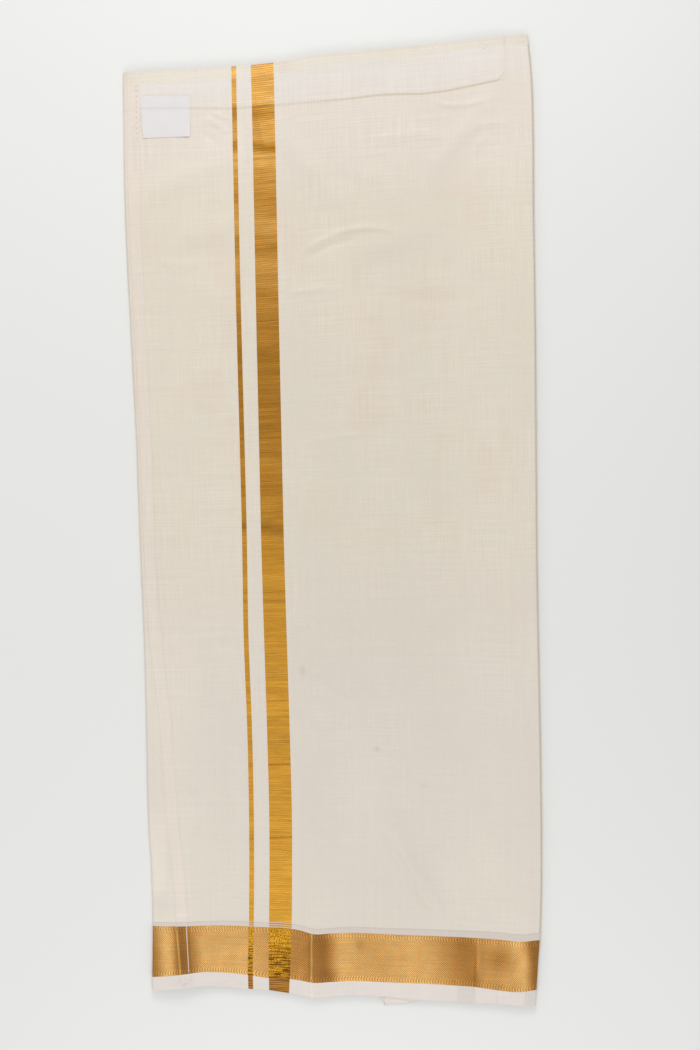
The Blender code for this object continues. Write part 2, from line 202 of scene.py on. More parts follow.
def ramp(value, start, end):
    """A smooth climb from 0 to 1 between start and end."""
    part = np.clip((value - start) / (end - start), 0, 1)
    return part * part * (3 - 2 * part)


def bell(gap, half_width):
    """1 where gap is 0, falling softly to 0 past half_width."""
    return np.exp(-((gap / half_width) ** 2))


def spot(gap_x, gap_y, wide, long):
    return bell(gap_x, wide) * bell(gap_y, long)


def even_tone(x, y):
    return np.ones(np.shape(x))


def placed(name, data):
    """An object of this data, in the scene."""
    obj = bpy.data.objects.new(name, data)
    bpy.context.scene.collection.objects.link(obj)
    return obj


def uneven(x, y, wide, long, seed):
    """Smooth uneven values between about -1 and 1, with patches of this size."""
    count = 97
    cells = np.random.default_rng(seed).uniform(-1, 1, (count, count))
    x, y = x / wide + 41.3, y / long + 37.7
    i, j = np.floor(x).astype(int), np.floor(y).astype(int)
    s, t = x - i, y - j
    s, t = s * s * (3 - 2 * s), t * t * (3 - 2 * t)

    def cell(di, dj):
        return cells[(i + di) % count, (j + dj) % count]

    low = cell(0, 0) * (1 - s) + cell(1, 0) * s
    high = cell(0, 1) * (1 - s) + cell(1, 1) * s
    return low * (1 - t) + high * t


def curve_through(rows, at):
    """A soft curve through rows of a place and a value, level at each row."""
    places, values = np.array(rows).T
    i = np.clip(np.searchsorted(places, at) - 1, 0, len(places) - 2)
    part = ramp(at, places[i], places[i + 1])
    return values[i] + (values[i + 1] - values[i]) * part


# ---- lines of the frame


def edges_of(node):
    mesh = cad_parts[node].data
    points = np.empty(3 * len(mesh.vertices))
    mesh.vertices.foreach_get("co", points)
    pairs = np.empty(2 * len(mesh.edges), int)
    mesh.edges.foreach_get("vertices", pairs)
    return points.reshape(-1, 3)[pairs.reshape(-1, 2)]


class Line:
    """One side of some CAD nodes as a smooth line: its x at each y (axis 1), or its y at each x (axis 0)."""

    def __init__(self, nodes, axis, side, start, end, count=25):
        ends = np.concatenate([edges_of(node) for node in nodes])
        self.at = np.linspace(start, end, count)
        self.value = []
        for station in self.at:
            a, b = ends[:, 0], ends[:, 1]
            cut = (a[:, axis] - station) * (b[:, axis] - station) < 0
            a, b = a[cut], b[cut]
            part = (station - a[:, axis]) / (b[:, axis] - a[:, axis])
            self.value.append(side(a[:, 1 - axis] + part * (b - a)[:, 1 - axis]))
        self.value = np.array(self.value)
        self.slope = np.gradient(self.value, self.at)

    def __call__(self, at):
        held = np.clip(at, self.at[0], self.at[-1])
        i = np.clip(np.searchsorted(self.at, held) - 1, 0, len(self.at) - 2)
        step = self.at[i + 1] - self.at[i]
        t = (held - self.at[i]) / step
        start = (2 * t**3 - 3 * t**2 + 1) * self.value[i] + (t**3 - 2 * t**2 + t) * step * self.slope[i]
        end = (3 * t**2 - 2 * t**3) * self.value[i + 1] + (t**3 - t**2) * step * self.slope[i + 1]
        beyond = (at - held) * np.where(at < held, self.slope[0], self.slope[-1])
        return start + end + beyond


def down_line(node, side, margin=0.004):
    low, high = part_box(node)
    return Line((node,), 0, side, low[0] + margin, high[0] - margin)


def across_line(nodes, side, start, end):
    return Line(nodes, 1, side, start, end)


STACK_LOW, STACK_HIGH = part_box("folded_layers")
BANDS = ("woven_line", "gold_border", "hem_selvedge", "waist_hem")
STRIPE_LOW, STRIPE_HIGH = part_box("stripe_narrow")
HEM_LOW, HEM_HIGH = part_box("end_hem")
FACING_LOW, FACING_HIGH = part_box("waist_facing")
FRONT_TOP = FACING_HIGH[2]

left_side = across_line(("front_left", *BANDS), np.min, STACK_LOW[1] + 0.022, STACK_HIGH[1] - 0.045)
right_side = across_line(("front_right", *BANDS), np.max, STACK_LOW[1] + 0.004, STACK_HIGH[1] - 0.002)
hem_outer = across_line(("end_hem",), np.min, HEM_LOW[1] + 0.008, HEM_HIGH[1] - 0.002)
hem_inner = across_line(("end_hem",), np.max, HEM_LOW[1] + 0.008, HEM_HIGH[1] - 0.002)
stripe_sides = [
    across_line((node,), side, STRIPE_LOW[1] + 0.004, STRIPE_HIGH[1] - 0.004)
    for node in ("stripe_narrow", "stripe_wide")
    for side in (np.min, np.max)
]
waist = down_line("waist_hem", np.max)
turn = down_line("waist_hem", np.min)
facing = down_line("waist_facing", np.min, margin=0.012)
line_top = down_line("woven_line", np.max)
border_top = down_line("gold_border", np.max)
border_low = down_line("gold_border", np.min)
hem = down_line("hem_selvedge", np.min)

# Where the stripes cross the border they drift a little from their straight run, and the wide one narrows.
CROSSING_Y = (-0.534, -0.490, -0.445)
NARROW_DRIFT = (0.0000, -0.0012, 0.0)
WIDE_DRIFT = (-0.0010, -0.0006, 0.0)
WIDE_NARROWING = (0.0042, 0.0012, 0.0)

# A place on the front layer is (across, down), in steps between these lines.
LEFT, HEM_OUTER, HEM_INNER, NARROW_A, NARROW_B, WIDE_A, WIDE_B, RIGHT = range(8)
WAIST, TURN, FACING, LINE, BORDER_TOP, BORDER_LOW, HEM = range(7)


def lines_across(y):
    """The x of each line that runs down the cloth, at this y."""
    narrow = np.interp(y, CROSSING_Y, NARROW_DRIFT)
    wide = np.interp(y, CROSSING_Y, WIDE_DRIFT)
    narrowing = np.interp(y, CROSSING_Y, WIDE_NARROWING) / 2
    flat_left = left_side(y) + LEFT_RADIUS
    outer = np.maximum(hem_outer(y), flat_left + 0.0015)
    narrow_a, narrow_b, wide_a, wide_b = (side(y) for side in stripe_sides)
    return np.array(
        [
            flat_left,
            outer,
            np.maximum(hem_inner(y), outer + 0.004),
            narrow_a + narrow,
            narrow_b + narrow,
            wide_a + wide + narrowing,
            wide_b + wide - narrowing,
            right_side(y) - RIGHT_RADIUS,
        ]
    )


def lines_down(x):
    """The y of each line that runs across the cloth, at this x."""
    return np.array([waist(x), turn(x), facing(x), line_top(x), border_top(x), border_low(x), hem(x)])


def among(lines, place):
    """The value at a place among numbered lines."""
    low = np.clip(np.floor(place).astype(int), 0, len(lines) - 2)
    start = np.take_along_axis(lines, low[None], 0)[0]
    end = np.take_along_axis(lines, low[None] + 1, 0)[0]
    return start + (end - start) * (place - low)


def on_plan(x_at, down):
    """The x and y of a place, where x_at gives its x at each y."""
    y = np.zeros(np.shape(down))
    for _ in range(6):
        x = x_at(y)
        y = among(lines_down(x), down)
    return x, y


# ---- the front layer


def swells(x, y):
    total = np.zeros(np.shape(x))
    for middle_x, middle_y, length, width, degrees, high in SWELLS:
        cos, sin = np.cos(np.radians(degrees)), np.sin(np.radians(degrees))
        along = ((x - middle_x) * cos + (y - middle_y) * sin) / length
        aside = ((y - middle_y) * cos - (x - middle_x) * sin) / width
        total = total + high * np.exp(-(along**2) - aside**2)
    return total


def creases(x, y):
    total = np.zeros(np.shape(x))
    for start, middle, end, high, half_width in CREASES:
        points = [np.array(point) for point in (start, middle, end)]
        t = np.linspace(0, 1, 13)[:, None]
        path = points[0] * (1 - t) ** 2 + (4 * points[1] - points[0] - points[2]) * t * (1 - t)
        path = path + points[2] * t**2
        near = (np.abs(x - middle[0]) <= CREASE_REACH) & (np.abs(y - middle[1]) <= CREASE_REACH)
        px, py = x[near], y[near]
        best = np.full(px.shape, 1e9)
        along = np.zeros(px.shape)
        for i, (a, b) in enumerate(zip(path, path[1:])):
            d = b - a
            part = np.clip(((px - a[0]) * d[0] + (py - a[1]) * d[1]) / (d @ d), 0, 1)
            gap = np.hypot(px - a[0] - part * d[0], py - a[1] - part * d[1])
            closer = gap < best
            best = np.where(closer, gap, best)
            along = np.where(closer, (i + part) / (len(path) - 1), along)
        fade = ramp(along, 0, 0.25) * ramp(1 - along, 0, 0.25)
        total[near] += high * bell(best, half_width) * fade
    return total


def puckers(x, y):
    """Small ripples that a row of stitches draws along the waist and the facing."""
    turned = bell(y - turn(x), 0.006) * uneven(x, y, 0.004, 0.012, 31)
    faced = bell(y - facing(x) - 0.004, 0.006) * uneven(x, y, 0.006, 0.014, 32)
    sewn = ramp(-x, -FACING_HIGH[0], -FACING_HIGH[0] + 0.006)
    return 0.00010 * turned + 0.00012 * faced * sewn


def height(x, y):
    """How high the front layer's upper side is: raised over the strips under it, swelled and creased."""
    from_left, from_right = x - left_side(y) - LEFT_RADIUS, right_side(y) - RIGHT_RADIUS - x
    over_hem = ramp(x - hem_outer(y), -RAMP, 0) * ramp(hem_inner(y) - x, -RAMP, 0)
    over_hem = over_hem * ramp(y, HEM_LOW[1] - RAMP, HEM_LOW[1])
    over_facing = ramp(y - facing(x), -RAMP, 0) * ramp(FACING_HIGH[0] - x, -RAMP, 0)
    doubled = ramp(y - turn(x), -0.0008, 0.0010)
    stitched = bell(y - turn(x) - 0.0012, 0.0009)
    rise = np.maximum(HEM_STEP * over_hem, FACING_STEP * over_facing) + TURN_STEP * doubled
    rise = rise - 0.00016 * stitched
    rest = (
        swells(x, y)
        + creases(x, y)
        + puckers(x, y)
        + 0.00055 * uneven(x, y, 0.060, 0.075, 1)
        + 0.00024 * uneven(x, y, 0.024, 0.030, 2)
        + 0.00004 * uneven(x, y, 0.009, 0.011, 3)
    )
    corner = spot(x - CRUMPLED[0], y - CRUMPLED[1], 0.007, 0.0055)
    crumple = 0.0012 * corner * (0.4 + uneven(x, y, 0.0030, 0.0026, 4))
    lifted = HEM_LIFT * bell(x + 0.168, 0.030) * ramp(0.045 - y + hem(x), 0, 0.045)
    lifted += 0.4 * HEM_LIFT * bell(x - 0.200, 0.030) * ramp(0.024 - y + hem(x), 0, 0.024)
    droop = 0.00035 * ramp(0.014 - y + hem(x), 0, 0.014) * (0.6 + 0.4 * uneven(x, y, 0.035, 1, 5))
    sag = 0.0009 * ramp(0.016 - waist(x) + y, 0, 0.016)
    inside = ramp(from_left, 0, 0.009) * ramp(from_right, 0, 0.010)
    on_side = ramp(from_left, -0.0005, 0.0022) * ramp(from_right, -0.0005, 0.006)
    return FRONT_TOP + rise * on_side + (rest + crumple) * inside + lifted - droop - sag


def fold_steps(start, end, turning=9, flat=4):
    """Places from a fold's line to the end of its flap: first the turn, then the flap."""
    middle = start + (end - start) * FOLD_TURN
    turn_places = np.linspace(start, middle, turning + 1)[1:]
    return np.concatenate([turn_places, np.linspace(middle, end, flat + 1)[1:]])


def front_points(across, down):
    """Places on the front layer's outer side. Past LEFT and RIGHT they go round the fold and in under it."""
    held = np.clip(across, LEFT, RIGHT)
    x, y = on_plan(lambda y: among(lines_across(y), held), down)
    past_crease = ramp(x, -0.0231, -0.0224) * ramp(-x, 0.004, 0.022)
    y = y - 0.0017 * past_crease * ramp(border_low(x) - y, 0.002, 0.013)
    z = height(x, y)
    folds = (
        (LEFT - across, LEFT_RADIUS, LEFT_FLAP, -1, 0.0, 11),
        (across - RIGHT, RIGHT_RADIUS, RIGHT_FLAP, 1, SECOND_LOW, 12),
    )
    for past, radius, flap, side, floor, seed in folds:
        turned = np.pi * np.clip(past / FOLD_TURN, 0, 1)
        inward = flap * np.clip((past - FOLD_TURN) / (1 - FOLD_TURN), 0, 1)
        blunt = np.sin(turned) ** 0.85
        wavy = 1 + 0.10 * uneven(y, y * 0, 0.021, 1, seed) + 0.06 * uneven(y, y * 0, 0.007, 1, seed + 5)
        x = x + side * (radius * blunt * np.minimum(wavy, 1.04) - inward)
        z = np.where(past > 0, z - (z - floor) * (1 - np.cos(turned)) / 2, z)
    return np.stack([x, y, z], axis=-1)


# ---- shells


def normals_of(grid):
    """The outward side of a grid whose columns run to the right and whose rows run down."""
    down = np.gradient(grid, axis=0)
    across = np.gradient(grid, axis=1)
    out = np.cross(down, across)
    return out / np.maximum(np.linalg.norm(out, axis=-1, keepdims=True), 1e-12)


def rim_order(rows, columns):
    """Indices round a grid's edge, and for each the index one step inside it."""
    number = np.arange(rows * columns).reshape(rows, columns)
    rim = np.concatenate([number[0, :-1], number[:-1, -1], number[-1, :0:-1], number[:0:-1, 0]])
    inner = number[1:-1, 1:-1]
    if inner.size == 0:
        return rim, rim
    row = np.clip(rim // columns, 1, rows - 2)
    column = np.clip(rim % columns, 1, columns - 2)
    return rim, number[row, column]


def plan_maps(points):
    """The maps that materials read, in metres, for points on the cloth.

    Thread follows the warp and the weft. Lines is how far right of the end hem's inner edge and above the
    facing's lower edge a point is. Bands is how far below the border's top and above its bottom it is.
    """
    x, y = points[..., 0], points[..., 1]
    lines = lines_across(y)
    marks = lines[MARKED]
    at = THREAD_MARKS
    u = at[0] + (x - marks[0])
    for i in range(5):
        part = (x - marks[i]) / (marks[i + 1] - marks[i])
        u = np.where(x > marks[i], at[i] + part * (at[i + 1] - at[i]), u)
    part = (y - border_top(x)) / (waist(x) - border_top(x))
    v = np.where(part > 0, part * CLOTH_LENGTH, y - border_top(x))
    thread = np.stack([u, v], axis=-1)
    near = np.stack([x - hem_inner(y), y - facing(x)], axis=-1)
    bands = np.stack([border_top(x) - y, y - border_low(x)], axis=-1)
    return {"Thread": thread, "Lines": near, "Bands": bands}


CLOTH_LENGTH = float(waist(0.0) - border_top(0.0))
MARKED = [LEFT, NARROW_A, NARROW_B, WIDE_A, WIDE_B, RIGHT]
middle_lines = lines_across(np.array([0.0]))[:, 0]
THREAD_MARKS = middle_lines[MARKED] - middle_lines[LEFT]


def shell(name, grid, thickness, material, rims, tone):
    """A closed thin shell under a grid of points, with every map and its tone on it.

    rims says how far each edge bulges, in parts of the thickness: first row, last column, last row, first
    column.
    """
    rows, columns = grid.shape[:2]
    thick = np.broadcast_to(np.asarray(thickness, float), (rows, columns))[..., None]
    inner = grid - normals_of(grid) * thick
    outer_points, inner_points = grid.reshape(-1, 3), inner.reshape(-1, 3)
    rim, within = rim_order(rows, columns)
    outward = outer_points[rim] - outer_points[within]
    outward = outward / np.maximum(np.linalg.norm(outward, axis=-1, keepdims=True), 1e-9)
    bulge = np.repeat(rims, (columns - 1, rows - 1, columns - 1, rows - 1))[:, None]
    edge = (outer_points[rim] + inner_points[rim]) / 2 + outward * bulge * thick.reshape(-1, 1)[rim]
    points = np.concatenate([outer_points, inner_points, edge])

    count = rows * columns
    number = np.arange(count).reshape(rows, columns)
    a, b, c, d = number[:-1, :-1], number[1:, :-1], number[1:, 1:], number[:-1, 1:]
    top = np.stack([a, b, c, d], axis=-1).reshape(-1, 4)
    ring = 2 * count + np.arange(len(rim))
    following = np.roll(rim, -1)
    ring_next = np.roll(ring, -1)
    upper = np.stack([rim, following, ring_next, ring], axis=-1)
    lower = np.stack([ring, ring_next, following + count, rim + count], axis=-1)
    faces = np.concatenate([top, top[:, ::-1] + count, upper, lower])

    mesh = bpy.data.meshes.new(name)
    mesh.vertices.add(len(points))
    mesh.vertices.foreach_set("co", points.ravel())
    mesh.loops.add(faces.size)
    mesh.loops.foreach_set("vertex_index", faces.ravel())
    mesh.polygons.add(len(faces))
    mesh.polygons.foreach_set("loop_start", np.arange(0, faces.size, 4))
    mesh.update(calc_edges=True)
    source = np.concatenate([np.arange(count), np.arange(count), rim])
    for title, values in plan_maps(grid).items():
        layer = mesh.uv_layers.new(name=title)
        layer.data.foreach_set("uv", values.reshape(-1, 2)[source[faces.ravel()]].ravel())
    mesh.attributes.new("tone", "FLOAT", "POINT").data.foreach_set("value", tone.ravel()[source])
    mesh.shade_smooth()
    mesh.set_sharp_from_angle(angle=np.radians(SHARP_ANGLE))
    mesh.materials.append(material)
    return placed(name, mesh)


def lengths_of(grid):
    """The mean width and length of a grid, measured along it."""
    width = np.linalg.norm(np.diff(grid, axis=1), axis=-1).sum(axis=1).mean()
    length = np.linalg.norm(np.diff(grid, axis=0), axis=-1).sum(axis=0).mean()
    return float(width), float(length)


trims = []  # strips too narrow for a sheet of their own, kept until the next sheet clears them


def cloth_piece(
    name,
    grid,
    finish,
    replaces,
    rests_on,
    tone_at=even_tone,
    rims=(0, 0, 0, 0),
    thickness=CLOTH,
    held="folded",
):
    """A shell that stands for a CAD node and hides that node."""
    material, slot = FINISHES[finish]
    tone = tone_at(grid[..., 0], grid[..., 1])
    piece = shell(name, grid, thickness, material, rims, tone)
    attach(piece, "root")
    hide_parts(replaces)
    flat = lengths_of(grid)
    if min(flat) < LEAST_SHEET:
        trims.append(piece)
        return
    trims.clear()


# ---- materials


def tint(red, green, blue, lit=0.90):
    """The base colour of a surface that shows this sRGB colour where a pure white one shows lit."""
    shown = [c / 255 for c in (red, green, blue)]
    linear = [c / 12.92 if c <= 0.04045 else ((c + 0.055) / 1.055) ** 2.4 for c in shown]
    return (*(c / lit for c in linear), 1.0)


class Shader:
    """A material's nodes, made from short expressions. Each value is a number or another node's output."""

    def __init__(self, name, roughness, metallic=0.0, sheen=0.0, specular=0.4):
        self.material = bpy.data.materials.new(name)
        self.material.use_nodes = True
        self.tree = self.material.node_tree
        self.surface = self.tree.nodes["Principled BSDF"]
        self.surface.inputs["Roughness"].default_value = roughness
        self.surface.inputs["Metallic"].default_value = metallic
        self.surface.inputs["Sheen Weight"].default_value = sheen
        self.surface.inputs["Sheen Roughness"].default_value = 0.5
        self.surface.inputs["Specular IOR Level"].default_value = specular

    def feed(self, socket, value):
        if isinstance(value, bpy.types.NodeSocket):
            self.tree.links.new(value, socket)
        else:
            socket.default_value = value

    def node(self, kind, values=(), **settings):
        made = self.tree.nodes.new(kind)
        for key, value in settings.items():
            setattr(made, key, value)
        for key, value in dict(values).items():
            self.feed(made.inputs[key], value)
        return made

    def math(self, operation, *values):
        return self.node("ShaderNodeMath", enumerate(values), operation=operation).outputs[0]

    def scaled(self, value, by, plus):
        return self.math("MULTIPLY_ADD", value, by, plus)

    def add(self, first, *others):
        for other in others:
            first = self.math("ADD", first, other)
        return first

    def times(self, first, *others):
        for other in others:
            first = self.math("MULTIPLY", first, other)
        return first

    def about(self, value, middle, amount):
        """amount times how far value is from middle, added to 1."""
        return self.scaled(self.math("SUBTRACT", value, middle), amount, 1.0)

    def parts(self, vector):
        split = self.node("ShaderNodeSeparateXYZ", {0: vector})
        return split.outputs[0], split.outputs[1]

    def map(self, name):
        return self.parts(self.node("ShaderNodeUVMap", uv_map=name).outputs[0])

    def place(self):
        return self.parts(self.node("ShaderNodeTexCoord").outputs["Object"])

    def tone(self):
        return self.node("ShaderNodeAttribute", attribute_name="tone").outputs["Fac"]

    def grain(self, u, v, wide, long, detail=2.0, shift=0.0):
        """Noise with patches of this size."""
        at = (self.scaled(u, 1 / wide, shift), self.scaled(v, 1 / long, shift))
        vector = self.node("ShaderNodeCombineXYZ", enumerate(at)).outputs[0]
        values = {"Vector": vector, "Scale": 1.0, "Detail": detail}
        return self.node("ShaderNodeTexNoise", values, noise_dimensions="2D").outputs[0]

    def climb(self, value, start, end):
        """A smooth climb from 0 to 1 between start and end."""
        low, high = min(start, end), max(start, end)
        to_low, to_high = (0.0, 1.0) if start < end else (1.0, 0.0)
        values = {0: value, 1: low, 2: high, 3: to_low, 4: to_high}
        return self.node("ShaderNodeMapRange", values, interpolation_type="SMOOTHSTEP").outputs[0]

    def stripe(self, value, start, end, soft):
        """1 between start and end, and 0 outside."""
        begun = self.climb(value, start - soft, start + soft)
        return self.times(begun, self.climb(value, end + soft, end - soft))

    def wave(self, value, pitch):
        return self.math("SINE", self.math("MULTIPLY", value, 2 * np.pi / pitch))

    def mix(self, part, first, second):
        values = {0: part, 6: first, 7: second}
        return self.node("ShaderNodeMix", values, data_type="RGBA").outputs[2]

    def shade(self, colour, factor):
        colour = colour[:3] if isinstance(colour, tuple) else colour
        return self.node("ShaderNodeVectorMath", {0: colour, "Scale": factor}, operation="SCALE").outputs[0]

    def bump(self, level, depth):
        values = {"Height": level, "Distance": depth, "Strength": 1.0}
        return self.node("ShaderNodeBump", values).outputs[0]

    def finish(self, colour, normal=None, roughness=None):
        self.feed(self.surface.inputs["Base Color"], colour)
        if normal is not None:
            self.feed(self.surface.inputs["Normal"], normal)
        if roughness is not None:
            self.feed(self.surface.inputs["Roughness"], roughness)
        return self.material


def crossing(s, u):
    """1 where the gold threads of the two stripes run on through a woven band."""
    wide = s.stripe(u, THREAD_MARKS[3], THREAD_MARKS[4], 0.0004)
    return s.math("MAXIMUM", wide, s.stripe(u, THREAD_MARKS[1], THREAD_MARKS[2], 0.0004))


def cotton(name, base, warm, slub=1.0, through=False, ribs=0.0, crossed=False):
    """Hand-woven cotton: uneven threads both ways, soft patches, and the strips under it showing through."""
    s = Shader(name, roughness=0.88, sheen=0.12, specular=0.25)
    u, v = s.map("Thread")
    x, y = s.place()
    warp = s.grain(u, v, 0.0012, 0.050, 2.0)
    weft = s.grain(u, v, 0.060, 0.0012, 2.0, 5.1)
    thick_warp = s.grain(u, v, 0.0040, 0.300, 1.0, 9.2)
    thick_weft = s.grain(u, v, 0.240, 0.0038, 1.0, 3.4)
    cloudy = s.grain(x, y, 0.055, 0.080, 2.0, 1.7)
    broad = s.grain(x, y, 0.100, 0.140, 1.0, 4.4)
    colour = s.mix(s.climb(s.add(y, s.times(cloudy, 0.16)), 0.12, -0.12), base, warm)
    colour = s.mix(s.times(s.climb(cloudy, 0.52, 0.72), s.climb(y, -0.10, 0.10), 0.5), colour, PEACH)
    threads_show = s.scaled(s.climb(broad, 0.30, 0.62), 0.10 * slub, 0.035 * slub)
    threads_show = s.times(threads_show, s.scaled(s.climb(y, -0.35, 0.0), 0.5, 0.5))
    factor = s.scaled(s.math("SUBTRACT", s.add(warp, weft), 1.0), threads_show, 1.0)
    factor = s.times(factor, s.about(s.add(thick_warp, thick_weft), 1.0, 0.030 * slub))
    # The tone attribute scales the colour; it holds painted light and shade as well as the cloth's own tone.
    factor = s.times(factor, s.about(broad, 0.5, 0.05), s.tone())
    if through:
        a, b = s.map("Lines")
        colour = s.mix(s.climb(y, 0.34, 0.42), colour, UPPER)
        rounded = s.climb(x, FACING_HIGH[0] - 0.009, FACING_HIGH[0])
        b = s.scaled(s.times(rounded, rounded), -0.007, b)
        on_facing = s.stripe(x, FACING_LOW[0], FACING_HIGH[0], 0.0007)
        covered = s.times(s.climb(b, -0.0004, 0.0008), on_facing)
        beside = s.climb(x, FACING_HIGH[0], FACING_HIGH[0] + 0.001)
        at_right = s.times(beside, s.climb(y, PALER_Y - 0.0005, PALER_Y + 0.0005), 0.5)
        covered = s.add(s.times(covered, s.scaled(s.climb(b, 0.0, 0.024), 0.45, 0.50)), at_right)
        colour = s.mix(covered, colour, FACED)
        over_hem = s.stripe(a, HEM_LEFT, 0.0, 0.0009)
        hem_band = s.times(over_hem, s.climb(y, END_OF_HEM_BAND - 0.001, END_OF_HEM_BAND))
        colour = s.mix(s.times(hem_band, 0.70), colour, HEMMED)
        # Painted shade along the facing's lower edge, where the front layer steps down off it.
        facing_edge_shade = s.times(s.stripe(b, -0.0019, -0.0001, 0.0010), on_facing)
        facing_edge_shade = s.times(facing_edge_shade, s.scaled(s.climb(x, -0.05, 0.06), 0.55, 0.30))
        colour = s.mix(facing_edge_shade, colour, FACING_EDGE_SHADE)
        hem_edge = s.stripe(a, -0.0003, 0.0011, 0.0005)
        hem_edge = s.add(hem_edge, s.stripe(a, HEM_LEFT - 0.0012, HEM_LEFT, 0.0005))
        hem_end = s.times(over_hem, s.stripe(y, END_OF_HEM_BAND, END_OF_HEM_BAND + 0.003, 0.001))
        left_of_facing = s.climb(x, FACING_LOW[0], FACING_LOW[0] - 0.002)
        in_strip = s.times(s.stripe(y, 0.4490, 0.4498, 0.0004), left_of_facing)
        # Painted shadows of the end hem's stitches: a dotted dark line beside them.
        stitch_shadows = s.times(s.stripe(a, -0.0030, -0.0010, 0.0005), s.climb(s.wave(y, STITCH_SHADOW_PITCH), 0.1, 0.8))
        stitch_shadows = s.times(stitch_shadows, s.climb(y, 0.415, 0.422))
        # Painted shade along the right fold, where the cloth turns under.
        turned = s.climb(u, THREAD_MARKS[5] - 0.0012, THREAD_MARKS[5] + 0.0004)
        colour = s.mix(s.times(turned, 0.75), colour, EDGE_SHADE)
        lines = s.add(s.times(hem_edge, -0.028), s.times(hem_end, 0.05))
        lines = s.add(lines, s.times(in_strip, -0.09), s.times(stitch_shadows, -0.16))
        factor = s.times(factor, s.add(lines, 1.0))
    if ribs:
        dotted = s.times(s.wave(s.add(u, s.times(v, 0.5)), TEETH_PITCH), s.wave(v, BAND_PITCH))
        factor = s.times(factor, s.scaled(dotted, ribs, 1.0))
    if crossed:
        above_low = s.map("Bands")[1]
        bars = s.grain(u, v, 0.050, 0.0013, 1.0, 6.6)
        white_lines = s.climb(s.wave(v, BAND_PITCH), 0.35, 0.85)
        in_line = s.mix(white_lines, LINE_GOLD, WHITE)
        in_selvedge = s.mix(s.climb(bars, 0.42, 0.56), SELVEDGE_DARK, SELVEDGE_GOLD)
        gold = s.mix(s.climb(above_low, -0.0002, 0.0002), in_selvedge, in_line)
        colour = s.mix(crossing(s, u), colour, gold)
    weave = s.times(s.wave(u, THREAD_PITCH), s.wave(v, THREAD_PITCH))
    threads = s.add(s.times(s.add(warp, weft), 1.2), s.times(weave, 0.28))
    return s.finish(s.shade(colour, factor), s.bump(threads, COTTON_RELIEF))


def gold_stripe(name):
    """Gold thread over cotton: fine bars across the stripe, with a duller thread here and there."""
    s = Shader(name, roughness=0.42, metallic=0.45, specular=0.12)
    u, v = s.map("Thread")
    bars = s.grain(u, v, 0.300, 0.0012, 2.0)
    broken = s.grain(u, v, 0.016, 0.0010, 2.0, 4.9)
    wide_bars = s.grain(u, v, 0.300, 0.0048, 2.0, 7.7)
    flecks = s.grain(u, v, 0.0014, 0.0008, 1.0, 2.2)
    ribs = s.wave(v, RIB_PITCH)
    tone = s.tone()
    bright = s.mix(s.climb(v, 0.45, 0.65), GOLD_RICH, GOLD_BRIGHT)
    # Painted reflection: the tone picks dull or bright gold, and below it scales the brightness.
    colour = s.mix(s.climb(tone, 0.50, 1.00), GOLD_DULL, bright)
    factor = s.times(s.about(bars, 0.5, 0.50), s.about(broken, 0.5, 0.50), s.about(wide_bars, 0.5, 0.25))
    factor = s.times(factor, s.about(flecks, 0.5, 0.45), s.scaled(ribs, 0.05, 1.0), tone)
    level = s.add(bars, broken, s.times(ribs, 0.4), s.times(flecks, 0.5))
    roughness = s.scaled(bars, 0.20, 0.32)
    return s.finish(s.shade(colour, factor), s.bump(level, STRIPE_RELIEF), roughness)


